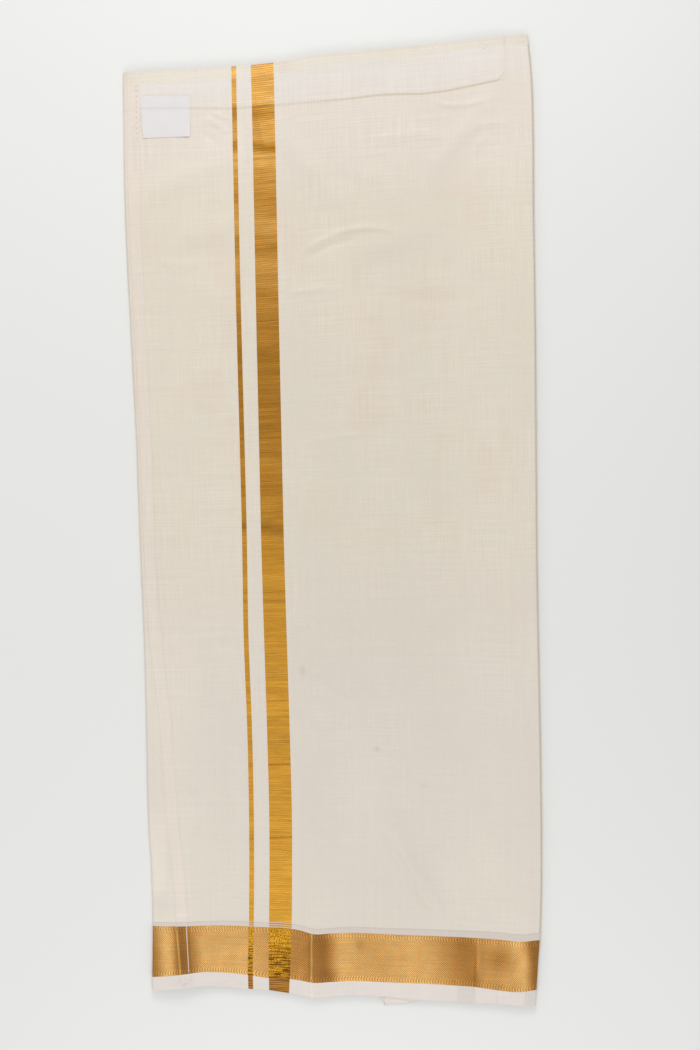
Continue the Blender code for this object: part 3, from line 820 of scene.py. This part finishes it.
def gold_border(name):
    """Gold twill in a herringbone: slanted teeth along its edges, and the two stripes crossing it."""
    s = Shader(name, roughness=0.40, metallic=0.45, specular=0.12)
    u, v = s.map("Thread")
    right_of_hem = s.map("Lines")[0]
    below_top, above_low = s.map("Bands")
    tone = s.tone()
    zigzag = s.math("PINGPONG", u, ZIGZAG)
    twill = s.wave(s.add(zigzag, v), TWILL_PITCH)
    counter = s.wave(s.math("SUBTRACT", u, v), BAND_PITCH)
    weft = s.grain(u, v, 0.060, 0.0011, 2.0)
    flecks = s.grain(u, v, 0.0014, 0.0012, 1.0, 3.3)
    patches = s.grain(u, v, 0.016, 0.020, 2.0, 6.1)
    edge = s.math("MINIMUM", below_top, above_low)
    slanted = s.add(u, s.times(s.math("PINGPONG", edge, TEETH_DEPTH), 0.55), s.times(flecks, 0.0012))
    teeth = s.climb(s.wave(slanted, TEETH_PITCH), -0.5, 0.7)
    in_teeth = s.times(s.climb(edge, 0.0064, 0.0052), s.climb(edge, 0.0003, 0.0009))
    contrast = s.scaled(tone, -0.40, 0.75)
    pattern = s.times(s.add(s.times(twill, 0.55), s.times(counter, 0.45)), contrast)
    pattern = s.times(pattern, s.scaled(in_teeth, -0.8, 1.0))
    factor = s.times(s.add(pattern, 1.0), s.about(weft, 0.5, 0.36), s.about(flecks, 0.5, 0.50))
    factor = s.times(factor, s.about(patches, 0.5, 0.24))
    depth = s.scaled(tone, -0.24, 0.80)
    toothed = s.times(in_teeth, s.scaled(teeth, depth, -0.24))
    # Painted reflection: the tone scales the gold's brightness here and picks dull or bright gold below.
    factor = s.times(factor, s.add(toothed, 1.0), tone)
    colour = s.mix(s.climb(tone, 0.45, 0.95), BORDER_DULL, BORDER_BRIGHT)
    colour = s.shade(colour, factor)
    seam = s.stripe(right_of_hem, SEAM_LINE - 0.0004, SEAM_LINE + 0.0004, 0.0004)
    seam = s.times(seam, s.climb(above_low, 0.001, 0.002))
    colour = s.mix(s.times(seam, 0.85), colour, WHITE)

    dots = s.grain(u, v, 0.0014, 0.0012, 1.0, 8.8)
    bars = s.grain(u, v, 0.0160, 0.0020, 2.0, 2.9)
    lower = s.climb(below_top, 0.012, 0.034)
    mottled = s.times(s.about(dots, 0.5, 1.9), s.about(bars, 0.5, 0.9))
    dark = s.math("MAXIMUM", s.times(s.climb(bars, 0.54, 0.40), lower), s.climb(dots, 0.40, 0.30))
    rich = s.mix(dark, CROSSING_BRIGHT, CROSSING_DARK)
    crossed = s.times(mottled, s.scaled(lower, -0.14, 0.84), s.scaled(tone, 0.3, 0.76))
    across = crossing(s, u)
    colour = s.mix(across, colour, s.shade(rich, crossed))
    level = s.add(s.times(twill, 0.5), s.times(counter, 0.3), weft, s.times(s.times(in_teeth, teeth), 0.8))
    level = s.add(level, s.times(across, dots, 2.5))
    roughness = s.scaled(flecks, 0.20, 0.30)
    return s.finish(colour, s.bump(level, BORDER_RELIEF), roughness)


def satin(name):
    """A woven satin label: fine lengthwise threads and a soft shine."""
    s = Shader(name, roughness=0.45, sheen=0.1, specular=0.5)
    u, v = s.map("Thread")
    threads = s.grain(u, v, 0.0120, 0.0006, 2.0)
    cloudy = s.grain(u, v, 0.018, 0.014, 2.0)
    factor = s.times(s.about(threads, 0.5, 0.05), s.about(cloudy, 0.5, 0.05))
    return s.finish(s.shade(LABEL, factor), s.bump(threads, FINE_RELIEF))


def sewing_thread(name, colour):
    s = Shader(name, roughness=0.7, sheen=0.15, specular=0.3)
    x, y = s.place()
    twist = s.grain(s.add(x, y), s.math("SUBTRACT", x, y), 0.0004, 0.0012, 1.0)
    return s.finish(s.shade(colour, s.about(twist, 0.5, 0.25)), s.bump(twist, FINE_RELIEF))


def paper_floor(name):
    s = Shader(name, roughness=0.9, specular=0.1)
    x, y = s.place()
    return s.finish(s.shade(FLOOR, s.about(s.grain(x, y, 0.9, 0.9, 1.0), 0.5, 0.012)))


HEM_LEFT = -float(np.mean(hem_inner(hem_inner.at) - hem_outer(hem_outer.at)))
SEAM_LINE = float(-0.1590 - hem_inner(-0.471))  # the white seam of the end hem in the border
END_OF_HEM_BAND = -0.435  # above it the end hem shows through the front layer
CREAM = tint(224, 215, 199)
WARM = tint(224, 215, 203)
UPPER = tint(227, 217, 205)
PEACH = tint(226, 210, 193)
EDGE_SHADE = tint(206, 192, 168)
FACED = tint(228, 221, 214)
FACING_EDGE_SHADE = tint(212, 196, 170)
HEMMED = tint(228, 216, 204)
HEM_CREAM = tint(230, 222, 208)
HEM_WARM = tint(228, 218, 205)
WHITE = tint(225, 217, 211)
WHITE_WARM = tint(227, 219, 212)
LINE_WARM = tint(225, 214, 204)
LINE_GOLD = tint(203, 150, 74)
SELVEDGE_GOLD = tint(186, 130, 48)
SELVEDGE_DARK = tint(128, 82, 34)
LABEL = tint(222, 217, 217)
# Lit and dull copies of the gold, chosen between by the painted reflection in the tone.
GOLD_BRIGHT = tint(217, 164, 84)
GOLD_RICH = tint(217, 159, 58)
GOLD_DULL = tint(217, 151, 54)
BORDER_BRIGHT = tint(221, 172, 103)
BORDER_DULL = tint(221, 155, 76)
CROSSING_BRIGHT = tint(218, 158, 40)
CROSSING_DARK = tint(136, 82, 10)
FLOOR = tint(229, 229, 227)
STITCH = tint(238, 233, 226)

FINISHES = {
    # its material and its slot
    "field": (cotton("cream_cotton", CREAM, WARM, through=True), "cream_cotton"),
    "plain": (cotton("cream_cotton_plain", CREAM, WARM), "cream_cotton"),
    "hem": (cotton("cream_cotton_doubled", HEM_CREAM, HEM_WARM, slub=0.7), "cream_cotton"),
    "white": (cotton("white_cotton", WHITE, WHITE_WARM, slub=0.8, ribs=0.02), "white_cotton"),
    "line": (
        cotton("white_cotton_line", WHITE, LINE_WARM, slub=0.8, ribs=0.06, crossed=True),
        "white_cotton",
    ),
    "selvedge": (
        cotton("white_cotton_selvedge", WHITE, WHITE_WARM, slub=0.8, ribs=0.015, crossed=True),
        "white_cotton",
    ),
    "stripe": (gold_stripe("gold_stripe"), "gold_stripe"),
    "border": (gold_border("gold_border"), "gold_border"),
    "label": (satin("label_satin"), "label_satin"),
    "stitch": (sewing_thread("sewing_thread", STITCH), "white_cotton"),
}


# ---- tones


def turned_up(x, y):
    """How far the front layer's swells and creases turn towards the waist and the left: -1 to 1. It sets the
    painted light and shade on them.
    """
    step_x, step_y = -0.0004, 0.0009
    ahead = swells(x + step_x, y + step_y) + creases(x + step_x, y + step_y)
    behind = swells(x - step_x, y - step_y) + creases(x - step_x, y - step_y)
    return np.tanh((behind - ahead) / (2 * np.hypot(step_x, step_y)) / 0.25)


def cloth_tone(x, y):
    """Where the cotton is a little darker or lighter.

    It is paler towards both sides and low on the left, has painted light and shade on its swells and creases
    and painted shade along its fold edges, and varies with its slubs.
    """
    tone = 0.995 + 0.030 * ramp(np.abs(x - 0.03), 0.06, 0.15)
    tone += 0.030 * ramp(-x, 0.13, 0.17) * ramp(-y, 0.05, 0.20)
    tone += 0.045 * ramp(-x, 0.180, 0.186) * ramp(-y, 0.30, 0.36) * ramp(y, -0.412, -0.404)
    tone -= 0.040 * spot(x + 0.186, y + 0.424, 0.014, 0.010)
    # Painted shade along the right and the left fold edges.
    tone -= 0.10 * ramp(x - right_side(y), -0.0022, -0.0008)
    tone -= 0.05 * ramp(left_side(y) - x, -0.0020, -0.0008)
    # Painted light and shade on the swells and creases.
    tone += 0.035 * turned_up(x, y)
    slubs = (
        # x, y, width, length, how dark
        (0.049, -0.251, 0.0026, 0.0022, 0.20),
        (-0.033, -0.165, 0.0026, 0.0050, 0.13),
        (0.101, -0.291, 0.0030, 0.0025, 0.07),
        (0.1660, 0.519, 0.0012, 0.0012, 0.20),
    )
    for at_x, at_y, wide, long, dark in slubs:
        tone -= dark * spot(x - at_x, y - at_y, wide, long)
    return tone


def stripe_tone(x, y):
    """Painted reflection: dull and bright bands down the stripes, with a duller line at each press fold."""
    slant = y + 0.10 * (x + 0.075)
    shifted = slant + 0.0016 * uneven(x, y, 0.012, 0.020, 21)
    tone = curve_through(STRIPE_LEVELS, shifted)
    for at, half_width, duller in STRIPE_SHADED_DIPS:
        tone = tone * (1 - duller * bell(shifted - at, half_width))
    tone = tone * (1 + 0.10 * uneven(x, y, 0.060, 0.009, 22) + 0.05 * uneven(x, y, 0.060, 0.0025, 23))
    for at in PRESS_FOLDS:
        tone = tone * (1 - 0.35 * bell(y - at - PRESS_SLANT * (x + 0.075), 0.0007))
    wedge = ramp(x + 0.0855 - 0.25 * (0.452 - y), 0, 0.002) * ramp(y, 0.408, 0.413)
    wedge = wedge * ramp(0.450 - y, 0, 0.006)
    top_bar = ramp(y - waist(x), -0.0018, -0.0010)
    return tone * (1 + 0.12 * wedge) * (1 - 0.28 * top_bar)


def border_tone(x, y):
    """Painted reflection: broad dull and bright bands, with two duller patches of painted shade and painted
    highlights along two ridges.
    """
    level = (y - border_low(x)) / (border_top(x) - border_low(x))
    shifted = x + 0.0050 * (level - 0.5) + 0.0015 * uneven(x, y, 0.02, 0.012, 24)
    tone = curve_through(BORDER_LEVELS, shifted)
    # Painted shade: two duller patches.
    patch = spot(x - 0.185, y + 0.482, 0.013, 0.012)
    second = spot(x - 0.030, y + 0.466, 0.006, 0.006)
    tone = tone * (1 - 0.26 * patch - 0.16 * second)
    # Painted highlights along a ridge near the end hem and along the middle crease.
    ridge = -0.1714 + 0.0050 * np.clip((-0.445 - y) / 0.055, 0, 1)
    tone = tone + 0.40 * bell(x - ridge, 0.0010)
    return tone + 0.42 * bell(x + 0.0230, 0.0011)


def line_tone(x, y):
    """The woven line is duller along its top, and right of the middle crease."""
    return 0.93 - 0.03 * ramp(x, -0.03, 0.0) - 0.07 * bell(line_top(x) - y - 0.0006, 0.0009)


def selvedge_tone(x, y):
    tone = 1 + 0.012 * uneven(x, y, 0.012, 0.006, 26)
    tone -= 0.075 * ramp(x, 0.134, 0.139) * ramp(0.1575 - x, 0, 0.001)
    tone -= 0.05 * bell(x - 0.1805, 0.0009)
    # Painted shade where the selvedge turns down into the right fold.
    tone -= 0.13 * ramp(x, 0.208, 0.214) * (0.8 + 0.4 * np.cos(2 * np.pi * x / 0.0022))
    # Painted highlight along the middle crease.
    tone += 0.10 * bell(x + 0.0228, 0.0009)
    corner = spot(x - CRUMPLED[0], y - CRUMPLED[1], 0.008, 0.0065)
    return tone - 0.09 * corner * (0.5 + uneven(x, y, 0.0022, 0.0020, 25))


def hem_tone(x, y):
    """The turned waist hem, with a duller line along its top edge and along its stitches."""
    tone = 1 - 0.035 * bell(waist(x) - y - 0.0030, 0.0012) - 0.03 * ramp(x, -0.12, -0.02)
    return tone - 0.03 * ramp(y - waist(x), -0.0012, -0.0004)


# ---- making the front


def steps(marks, counts):
    places = [np.array(marks[:1], float)]
    for start, end, count in zip(marks, marks[1:], counts):
        places.append(np.linspace(start, end, count + 1)[1:])
    return np.concatenate(places)


def halved(places):
    """The same places with one more between each two."""
    fine = np.empty(2 * len(places) - 1)
    fine[::2] = places
    fine[1::2] = (places[:-1] + places[1:]) / 2
    return fine


LEFT_COLUMNS = steps((LEFT, HEM_OUTER, HEM_INNER, HEM_INNER + 0.04, NARROW_A), (12, 10, 4, 34))
RIGHT_COLUMNS = steps((WIDE_B, RIGHT - 0.03, RIGHT), (94, 5))
NARROW_COLUMNS = steps((NARROW_A, NARROW_B), (4,))
BETWEEN_COLUMNS = steps((NARROW_B, WIDE_A), (8,))
WIDE_COLUMNS = steps((WIDE_A, WIDE_B), (14,))
LEFT_FOLD = fold_steps(LEFT, LEFT - 1, turning=11)[::-1]
RIGHT_FOLD = fold_steps(RIGHT, RIGHT + 1, turning=8, flat=3)
ROWS = steps((TURN, FACING, FACING + 0.008, LINE), (16, 6, 372))
SECTIONS = (
    # name, columns, finish
    ("front_left", np.concatenate([LEFT_FOLD, LEFT_COLUMNS]), "field"),
    ("stripe_narrow", NARROW_COLUMNS, "stripe"),
    ("front_between", BETWEEN_COLUMNS, "field"),
    ("stripe_wide", WIDE_COLUMNS, "stripe"),
    ("front_right", np.concatenate([RIGHT_COLUMNS, RIGHT_FOLD]), "field"),
)


def front_grid(columns, rows):
    across, down = np.meshgrid(columns, rows)
    return front_points(across, down)


def make_front():
    for name, columns, finish in SECTIONS:
        gold = finish == "stripe"
        grid = front_grid(columns, halved(ROWS) if gold else ROWS)
        tone_at = stripe_tone if gold else cloth_tone
        cloth_piece(f"{name}_cloth", grid, finish, name, ["folded_layers"], tone_at)


def whole_width():
    flat = [LEFT_COLUMNS, NARROW_COLUMNS, BETWEEN_COLUMNS, WIDE_COLUMNS, RIGHT_COLUMNS]
    flat = halved(np.unique(np.concatenate(flat)))
    return np.concatenate([LEFT_FOLD, flat, RIGHT_FOLD])


def make_bands():
    columns = whole_width()
    bands = (
        # name, from, to, rows, finish, tone, how far its lower edge bulges
        ("woven_line", LINE, BORDER_TOP, 8, "line", line_tone, 0),
        ("gold_border", BORDER_TOP, BORDER_LOW, 40, "border", border_tone, 0),
        ("hem_selvedge", BORDER_LOW, HEM, 12, "selvedge", selvedge_tone, FREE_RIM),
    )
    for name, start, end, count, finish, tone_at, low_rim in bands:
        grid = front_grid(columns, steps((start, end), (count,)))
        rims = (0, 0, low_rim, 0)
        cloth_piece(f"{name}_cloth", grid, finish, name, ["folded_layers"], tone_at, rims)


def make_waist_hem():
    """The hem turned to the back along the waist: up from its stitched edge, over the top and down behind."""
    flat = steps((WAIST + HEM_BEND, TURN), (10,))[::-1]
    bend = np.linspace(0, np.pi, 8)[1:]
    behind = steps((WAIST + HEM_BEND, TURN - 0.06), (5,))[1:]
    for name, columns, finish in SECTIONS:
        fine = halved(columns)
        outer = front_grid(fine, flat)
        top, out = outer[-1], -normals_of(outer)[-1]
        rows = [outer]
        for angle in bend:
            lifted = top - out * ROLL * (1 - np.cos(angle))
            lifted = lifted + np.array([0, ROLL * np.sin(angle), 0])
            rows.append(lifted[None])
        back = front_grid(fine, behind)
        rows.append(back - normals_of(back) * 2 * ROLL)
        grid = np.concatenate(rows)[::-1]
        hem_finish, tone_at = ("stripe", stripe_tone) if finish == "stripe" else ("hem", hem_tone)
        title = name.replace("front", "waist").replace("stripe", "waist_stripe")
        cloth_piece(f"{title}_hem", grid, hem_finish, "waist_hem", ["folded_layers"], tone_at)


# ---- the other layers


def layer_y(x, y, waist_in, hem_in):
    """Draws a layer's two ends in from the front layer's."""
    return y - waist_in * ramp(y - turn(x), 0, 0.010) + hem_in * ramp(border_low(x) - y, 0, 0.010)


HIDDEN = (
    # kind, rows, finish
    ("cloth", steps((WAIST, TURN, FACING, LINE), (7, 3, 60)), "plain"),
    ("band", steps((LINE, BORDER_TOP, BORDER_LOW), (2, 14)), "border"),
    ("edge", steps((BORDER_LOW, HEM), (20,)), "white"),
)


def hidden_piece(title, kind, finish, grid):
    """A part of a hidden layer, which is doubled where its own waist hem is turned."""
    rims = (FREE_RIM * (kind == "cloth"), SIDE_RIM, FREE_RIM * (kind == "edge"), SIDE_RIM)
    x, y = grid[..., 0], grid[..., 1]
    thickness = CLOTH * (1 + 0.9 * ramp(y - turn(x), -0.001, 0.001))
    tone_at = border_tone if kind == "band" else corner_shadow_tone
    cloth_piece(f"{title}_{kind}", grid, finish, "folded_layers", [], tone_at, rims, thickness)


def make_lower_fold():
    """The lowest and the third layer: one sheet that turns up at the right."""
    nose = THIRD_TOP / 2
    places = np.concatenate(
        [np.linspace(0, 1, 49), 1 + np.linspace(0, 1, 10)[1:], 2 + np.linspace(0, 1, 49)[1:]]
    )
    for kind, rows, finish in HIDDEN:
        place, down = np.meshgrid(places, rows)
        angle = np.pi * np.clip(place - 1, 0, 1)
        first = np.clip(place, 0, 1)
        back = np.clip(place - 2, 0, 1)

        def x_at(y):
            start = left_side(y) + LEFT_RADIUS + LEFT_FLAP + SEAM
            end = right_side(y) - nose
            last = left_side(y) + LEFT_RADIUS + SEAM
            run = start + (end - start) * first
            run = np.where(place > 2, end + (last - end) * back, run)
            return run + nose * np.sin(angle)

        x, y = on_plan(x_at, down)
        y = np.where(place < 1.5, layer_y(x, y, 0.0034, 0.0030), layer_y(x, y, 0.0014, 0.0016))
        z = nose * (1 - np.cos(angle))
        lift = 0.00022 * (1 + uneven(x, y, 0.030, 0.040, 41)) + 0.00008 * (1 + uneven(x, y, 0.009, 0.011, 42))
        lift = lift * np.where(place > 1.5, 0.5, 1.0) * np.where(place < 1, 1, -1)
        z = z + lift * (np.abs(place - 1.5) > 0.5)
        grid = np.stack([x, y, np.maximum(z, 0)], axis=-1)
        hidden_piece("lower_fold", kind, finish, grid[:, ::-1])


CORNER = (
    # x, how far the second layer's corner reaches out past the hem
    (0.0540, 0.0),
    (0.0570, 0.0098),
    (0.0730, 0.0068),
    (0.0974, 0.0),
)


def in_corner(x):
    return (x > CORNER[0][0]) & (x < CORNER[-1][0])


def corner_shadow_tone(x, y):
    """Painted shadow along the fold of the second layer's corner that peeks out, where the front hem lies on
    it; darker also along its side edge and at its tip.
    """
    fold = bell(hem(x) - y - 0.0012 - 0.05 * (x - CORNER[1][0]), 0.0007)
    side = bell(x - CORNER[1][0], 0.0008)
    tip = spot(x - CORNER[1][0], hem(x) - y - CORNER[1][1], 0.0014, 0.0014)
    return 1 - 0.16 * (0.6 * fold + 0.6 * side + 2.5 * tip) * in_corner(x)


def make_second_layer():
    """The second layer, from the right fold's flap to its own stitched end at the left."""
    places = np.unique(np.concatenate([np.linspace(0, 1, 61), np.linspace(0.610, 0.730, 81)]))
    for kind, rows, finish in HIDDEN:
        place, down = np.meshgrid(places, rows)

        def x_at(y):
            start = left_side(y) + LEFT_RADIUS + SEAM
            end = right_side(y) - RIGHT_RADIUS - RIGHT_FLAP - SEAM
            return start + (end - start) * place

        x, y = on_plan(x_at, down)
        y = layer_y(x, y, 0.0026, 0.0006)
        reach = np.interp(x, *np.array(CORNER).T) + 0.0006 * in_corner(x)
        y = y - reach * ramp(border_low(x) - y, 0.006, 0.014)
        lift = 0.00016 * uneven(x, y, 0.030, 0.040, 43) + 0.00006 * uneven(x, y, 0.009, 0.011, 44)
        fallen = 0.0022 * ramp(hem(x) - y, 0, 0.008)
        grid = np.stack([x, y, SECOND_TOP - 0.0002 + lift - fallen], axis=-1)
        hidden_piece("second_layer", kind, finish, grid)


def make_strips():
    """The facing under the front layer and the hem sewn along the second layer's end."""
    top = SECOND_TOP + 0.00055
    part, along = np.meshgrid(np.linspace(0, 1, 12), np.linspace(0, 1, 120))
    y = HEM_HIGH[1] + (HEM_LOW[1] - HEM_HIGH[1]) * along
    x = hem_outer(y) + (hem_inner(y) - hem_outer(y)) * part
    y = np.maximum(y, hem(x) + 2 * SEAM)
    grid = np.stack([x, y, top + 0.00025 + 0.00008 * uneven(x, y, 0.006, 0.008, 45)], axis=-1)
    cloth_piece("end_hem_strip", grid, "hem", "end_hem", ["folded_layers"], rims=STRIP_RIMS)

    part, down = np.meshgrid(np.linspace(0, 1, 160), np.linspace(0, 1, 14))
    x = FACING_LOW[0] + (FACING_HIGH[0] - FACING_LOW[0]) * part
    high, low = turn(x) - 3 * SEAM, facing(x) + 0.008 * ramp(part, 0.97, 1.0)
    y = high + (low - high) * down
    grid = np.stack([x, y, FRONT_TOP - 0.0001 + 0.00006 * uneven(x, y, 0.006, 0.008, 46)], axis=-1)
    cloth_piece("facing_strip", grid, "white", "waist_facing", ["end_hem"], rims=STRIP_RIMS)


# ---- label and stitches


def make_label():
    """A bare satin label, held along its top by stitches and lifted a little at its lower corners."""
    low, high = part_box("care_label")
    part, down = np.meshgrid(np.linspace(0, 1, 46), np.linspace(0, 1, 40))
    x = low[0] + (high[0] - low[0]) * part + 0.0014 * (down - 0.5) * (1 - part) * 2
    y = high[1] + (low[1] - high[1]) * down + 0.0008 * (part - 0.5) + 0.0009 * part * down
    rest = height(x, y) + 0.00055
    corner = 0.0007 * ramp(down, 0.6, 1.0) * ramp(np.abs(part - 0.45), 0.15, 0.55)
    ripple = 0.00012 * uneven(x, y, 0.012, 0.010, 51) * ramp(down, 0.05, 0.3)
    grid = np.stack([x, y, rest + corner + ripple + 0.0001], axis=-1)
    options = {"rims": STRIP_RIMS, "thickness": LABEL_CLOTH, "held": "laid"}
    cloth_piece("care_label_satin", grid, "label", "care_label", ["front_left"], **options)


def stitch_shape():
    """One stitch along X, 1 long, 1 wide and 1 high: a thread that dips into the cloth at both ends."""
    rings, sides = np.array((-0.5, -0.36, -0.12, 0.12, 0.36, 0.5)), 6
    size = np.array((0.25, 0.80, 1.0, 1.0, 0.80, 0.25))
    sink = np.array((-0.45, -0.08, 0, 0, -0.08, -0.45))
    angle = 2 * np.pi * np.arange(sides) / sides
    x = np.repeat(rings, sides)
    y = (size[:, None] * np.cos(angle) / 2).ravel()
    z = (size[:, None] * np.sin(angle) / 2 + sink[:, None]).ravel()
    faces = []
    for ring in range(len(rings) - 1):
        for side in range(sides):
            a, b = ring * sides + side, ring * sides + (side + 1) % sides
            faces.append((a, b, b + sides, a + sides))
    return np.stack([x, y, z], axis=-1), np.array(faces), sides


def stitches(name, runs, pitch, long, wide, above=0.0):
    """Rows of running stitches as one mesh. Each run is (x, y) points along it, closer than the pitch."""
    shape, faces, sides = stitch_shape()
    rng = np.random.default_rng(len(name))
    points, quads, caps = [], [], []
    for x, y in runs:
        distance = np.concatenate([[0], np.cumsum(np.hypot(np.diff(x), np.diff(y)))])
        at = np.arange(pitch / 2, distance[-1], pitch)
        at = at + rng.uniform(-0.08, 0.08, len(at)) * pitch
        px, py = np.interp(at, distance, x), np.interp(at, distance, y)
        ahead, behind = at + 0.001, at - 0.001
        angle = np.arctan2(
            np.interp(ahead, distance, y) - np.interp(behind, distance, y),
            np.interp(ahead, distance, x) - np.interp(behind, distance, x),
        )
        angle = angle + rng.uniform(-0.10, 0.10, len(at))
        for cx, cy, turned in zip(px, py, angle):
            cos, sin = np.cos(turned), np.sin(turned)
            along, aside = shape[:, 0] * long, shape[:, 1] * wide
            sx, sy = cx + along * cos - aside * sin, cy + along * sin + aside * cos
            start = len(points) * len(shape)
            sz = height(np.array([cx]), np.array([cy]))[0] + shape[:, 2] * wide * 0.7 + above
            points.append(np.stack([sx, sy, sz], axis=-1))
            quads.append(faces + start)
            ring = np.arange(sides)
            caps.append((ring[::-1] + start).tolist())
            caps.append((ring + start + len(shape) - sides).tolist())
    mesh = bpy.data.meshes.new(name)
    mesh.from_pydata(np.concatenate(points).tolist(), [], np.concatenate(quads).tolist() + caps)
    mesh.update()
    mesh.shade_smooth()
    material, slot = FINISHES["stitch"]
    mesh.materials.append(material)
    obj = placed(name, mesh)
    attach(obj, "root")


def make_stitches():
    low, high = left_side(0.49) + 0.004, right_side(0.51) - 0.004
    x = np.linspace(low, high, 400)
    waist_rows = [(x, waist(x) - 0.0042), (x, turn(x) + 0.0012)]
    stitches("waist_stitches", waist_rows, pitch=0.0027, long=0.0020, wide=0.00055)
    x = np.linspace(FACING_LOW[0], FACING_HIGH[0], 400)
    stitches("facing_stitches", [(x, facing(x) + 0.0050)], pitch=0.0029, long=0.0021, wide=0.00055)
    ends = []
    for inset in (0.0012, 0.0076):
        at = FACING_HIGH[0] - inset
        y = np.linspace(facing(np.array([at]))[0] + 0.002, turn(np.array([at]))[0] - 0.001, 40)
        ends.append((np.full(40, at), y))
    stitches("facing_end_stitches", ends, pitch=0.0027, long=0.0019, wide=0.00050)
    y = np.linspace(0.478, 0.420, 60)
    stitches("end_hem_stitches", [(hem_inner(y) - 0.0008, y)], pitch=0.0030, long=0.0014, wide=0.00050)
    low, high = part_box("care_label")
    x = np.linspace(low[0] + 0.002, high[0] - 0.002, 60)
    y = np.full(60, high[1] - 0.0018)
    stitches("label_stitches", [(x, y)], pitch=0.0024, long=0.0017, wide=0.00040, above=0.00070)


# ---- studio


def make_studio():
    mesh = bpy.data.meshes.new("floor")
    half = 40.0
    corners = [(-half, -half, 0), (half, -half, 0), (half, half, 0), (-half, half, 0)]
    mesh.from_pydata(corners, [], [(0, 1, 2, 3)])
    mesh.materials.append(paper_floor("pale_floor"))
    floor = placed("floor", mesh)
    floor.location.z = -0.0002  # just under the cloth

    world = bpy.data.worlds.new("studio")
    world.use_nodes = True
    sky = world.node_tree.nodes["Background"].inputs
    sky["Color"].default_value = (1.0, 1.0, 1.0, 1)
    sky["Strength"].default_value = SKY_STRENGTH
    bpy.context.scene.world = world

    lamps = (
        # name, place, size, power, aim
        ("key", (-0.02, 1.25, 1.0), 0.60, 7.2, (0.0, 0.1, 0.0)),
        ("low_fill", (0.02, -1.30, 1.0), 0.80, 6.2, (0.0, -0.1, 0.0)),
        ("side", (-1.50, 0.20, 0.8), 0.50, 1.7, (0.0, 0.0, 0.0)),
    )
    for name, place, size, power, aim in lamps:
        light = bpy.data.lights.new(name, "AREA")
        light.size = size
        light.energy = power
        lamp = placed(name, light)
        lamp.location = place
        away = np.array(place) - np.array(aim)
        tilt = np.arctan2(np.hypot(away[0], away[1]), away[2])
        lamp.rotation_euler = (tilt, 0, np.arctan2(away[0], -away[1]))


def make_camera():
    """Straight above the cloth, as far off as a copy stand, framing 0.77 by 1.155 m."""
    high, framed, above = 1.155, (0.01925, -0.00495), 2.75
    data = bpy.data.cameras.new("camera")
    data.sensor_width = 36.0
    data.lens = 36.0 * above / high
    camera = placed("camera", data)
    camera.location = (*framed, above)
    bpy.context.scene.camera = camera
    bpy.context.scene.view_settings.view_transform = "Standard"


make_front()
make_bands()
make_waist_hem()
make_lower_fold()
make_second_layer()
make_strips()
make_label()
make_stitches()
make_studio()
make_camera()
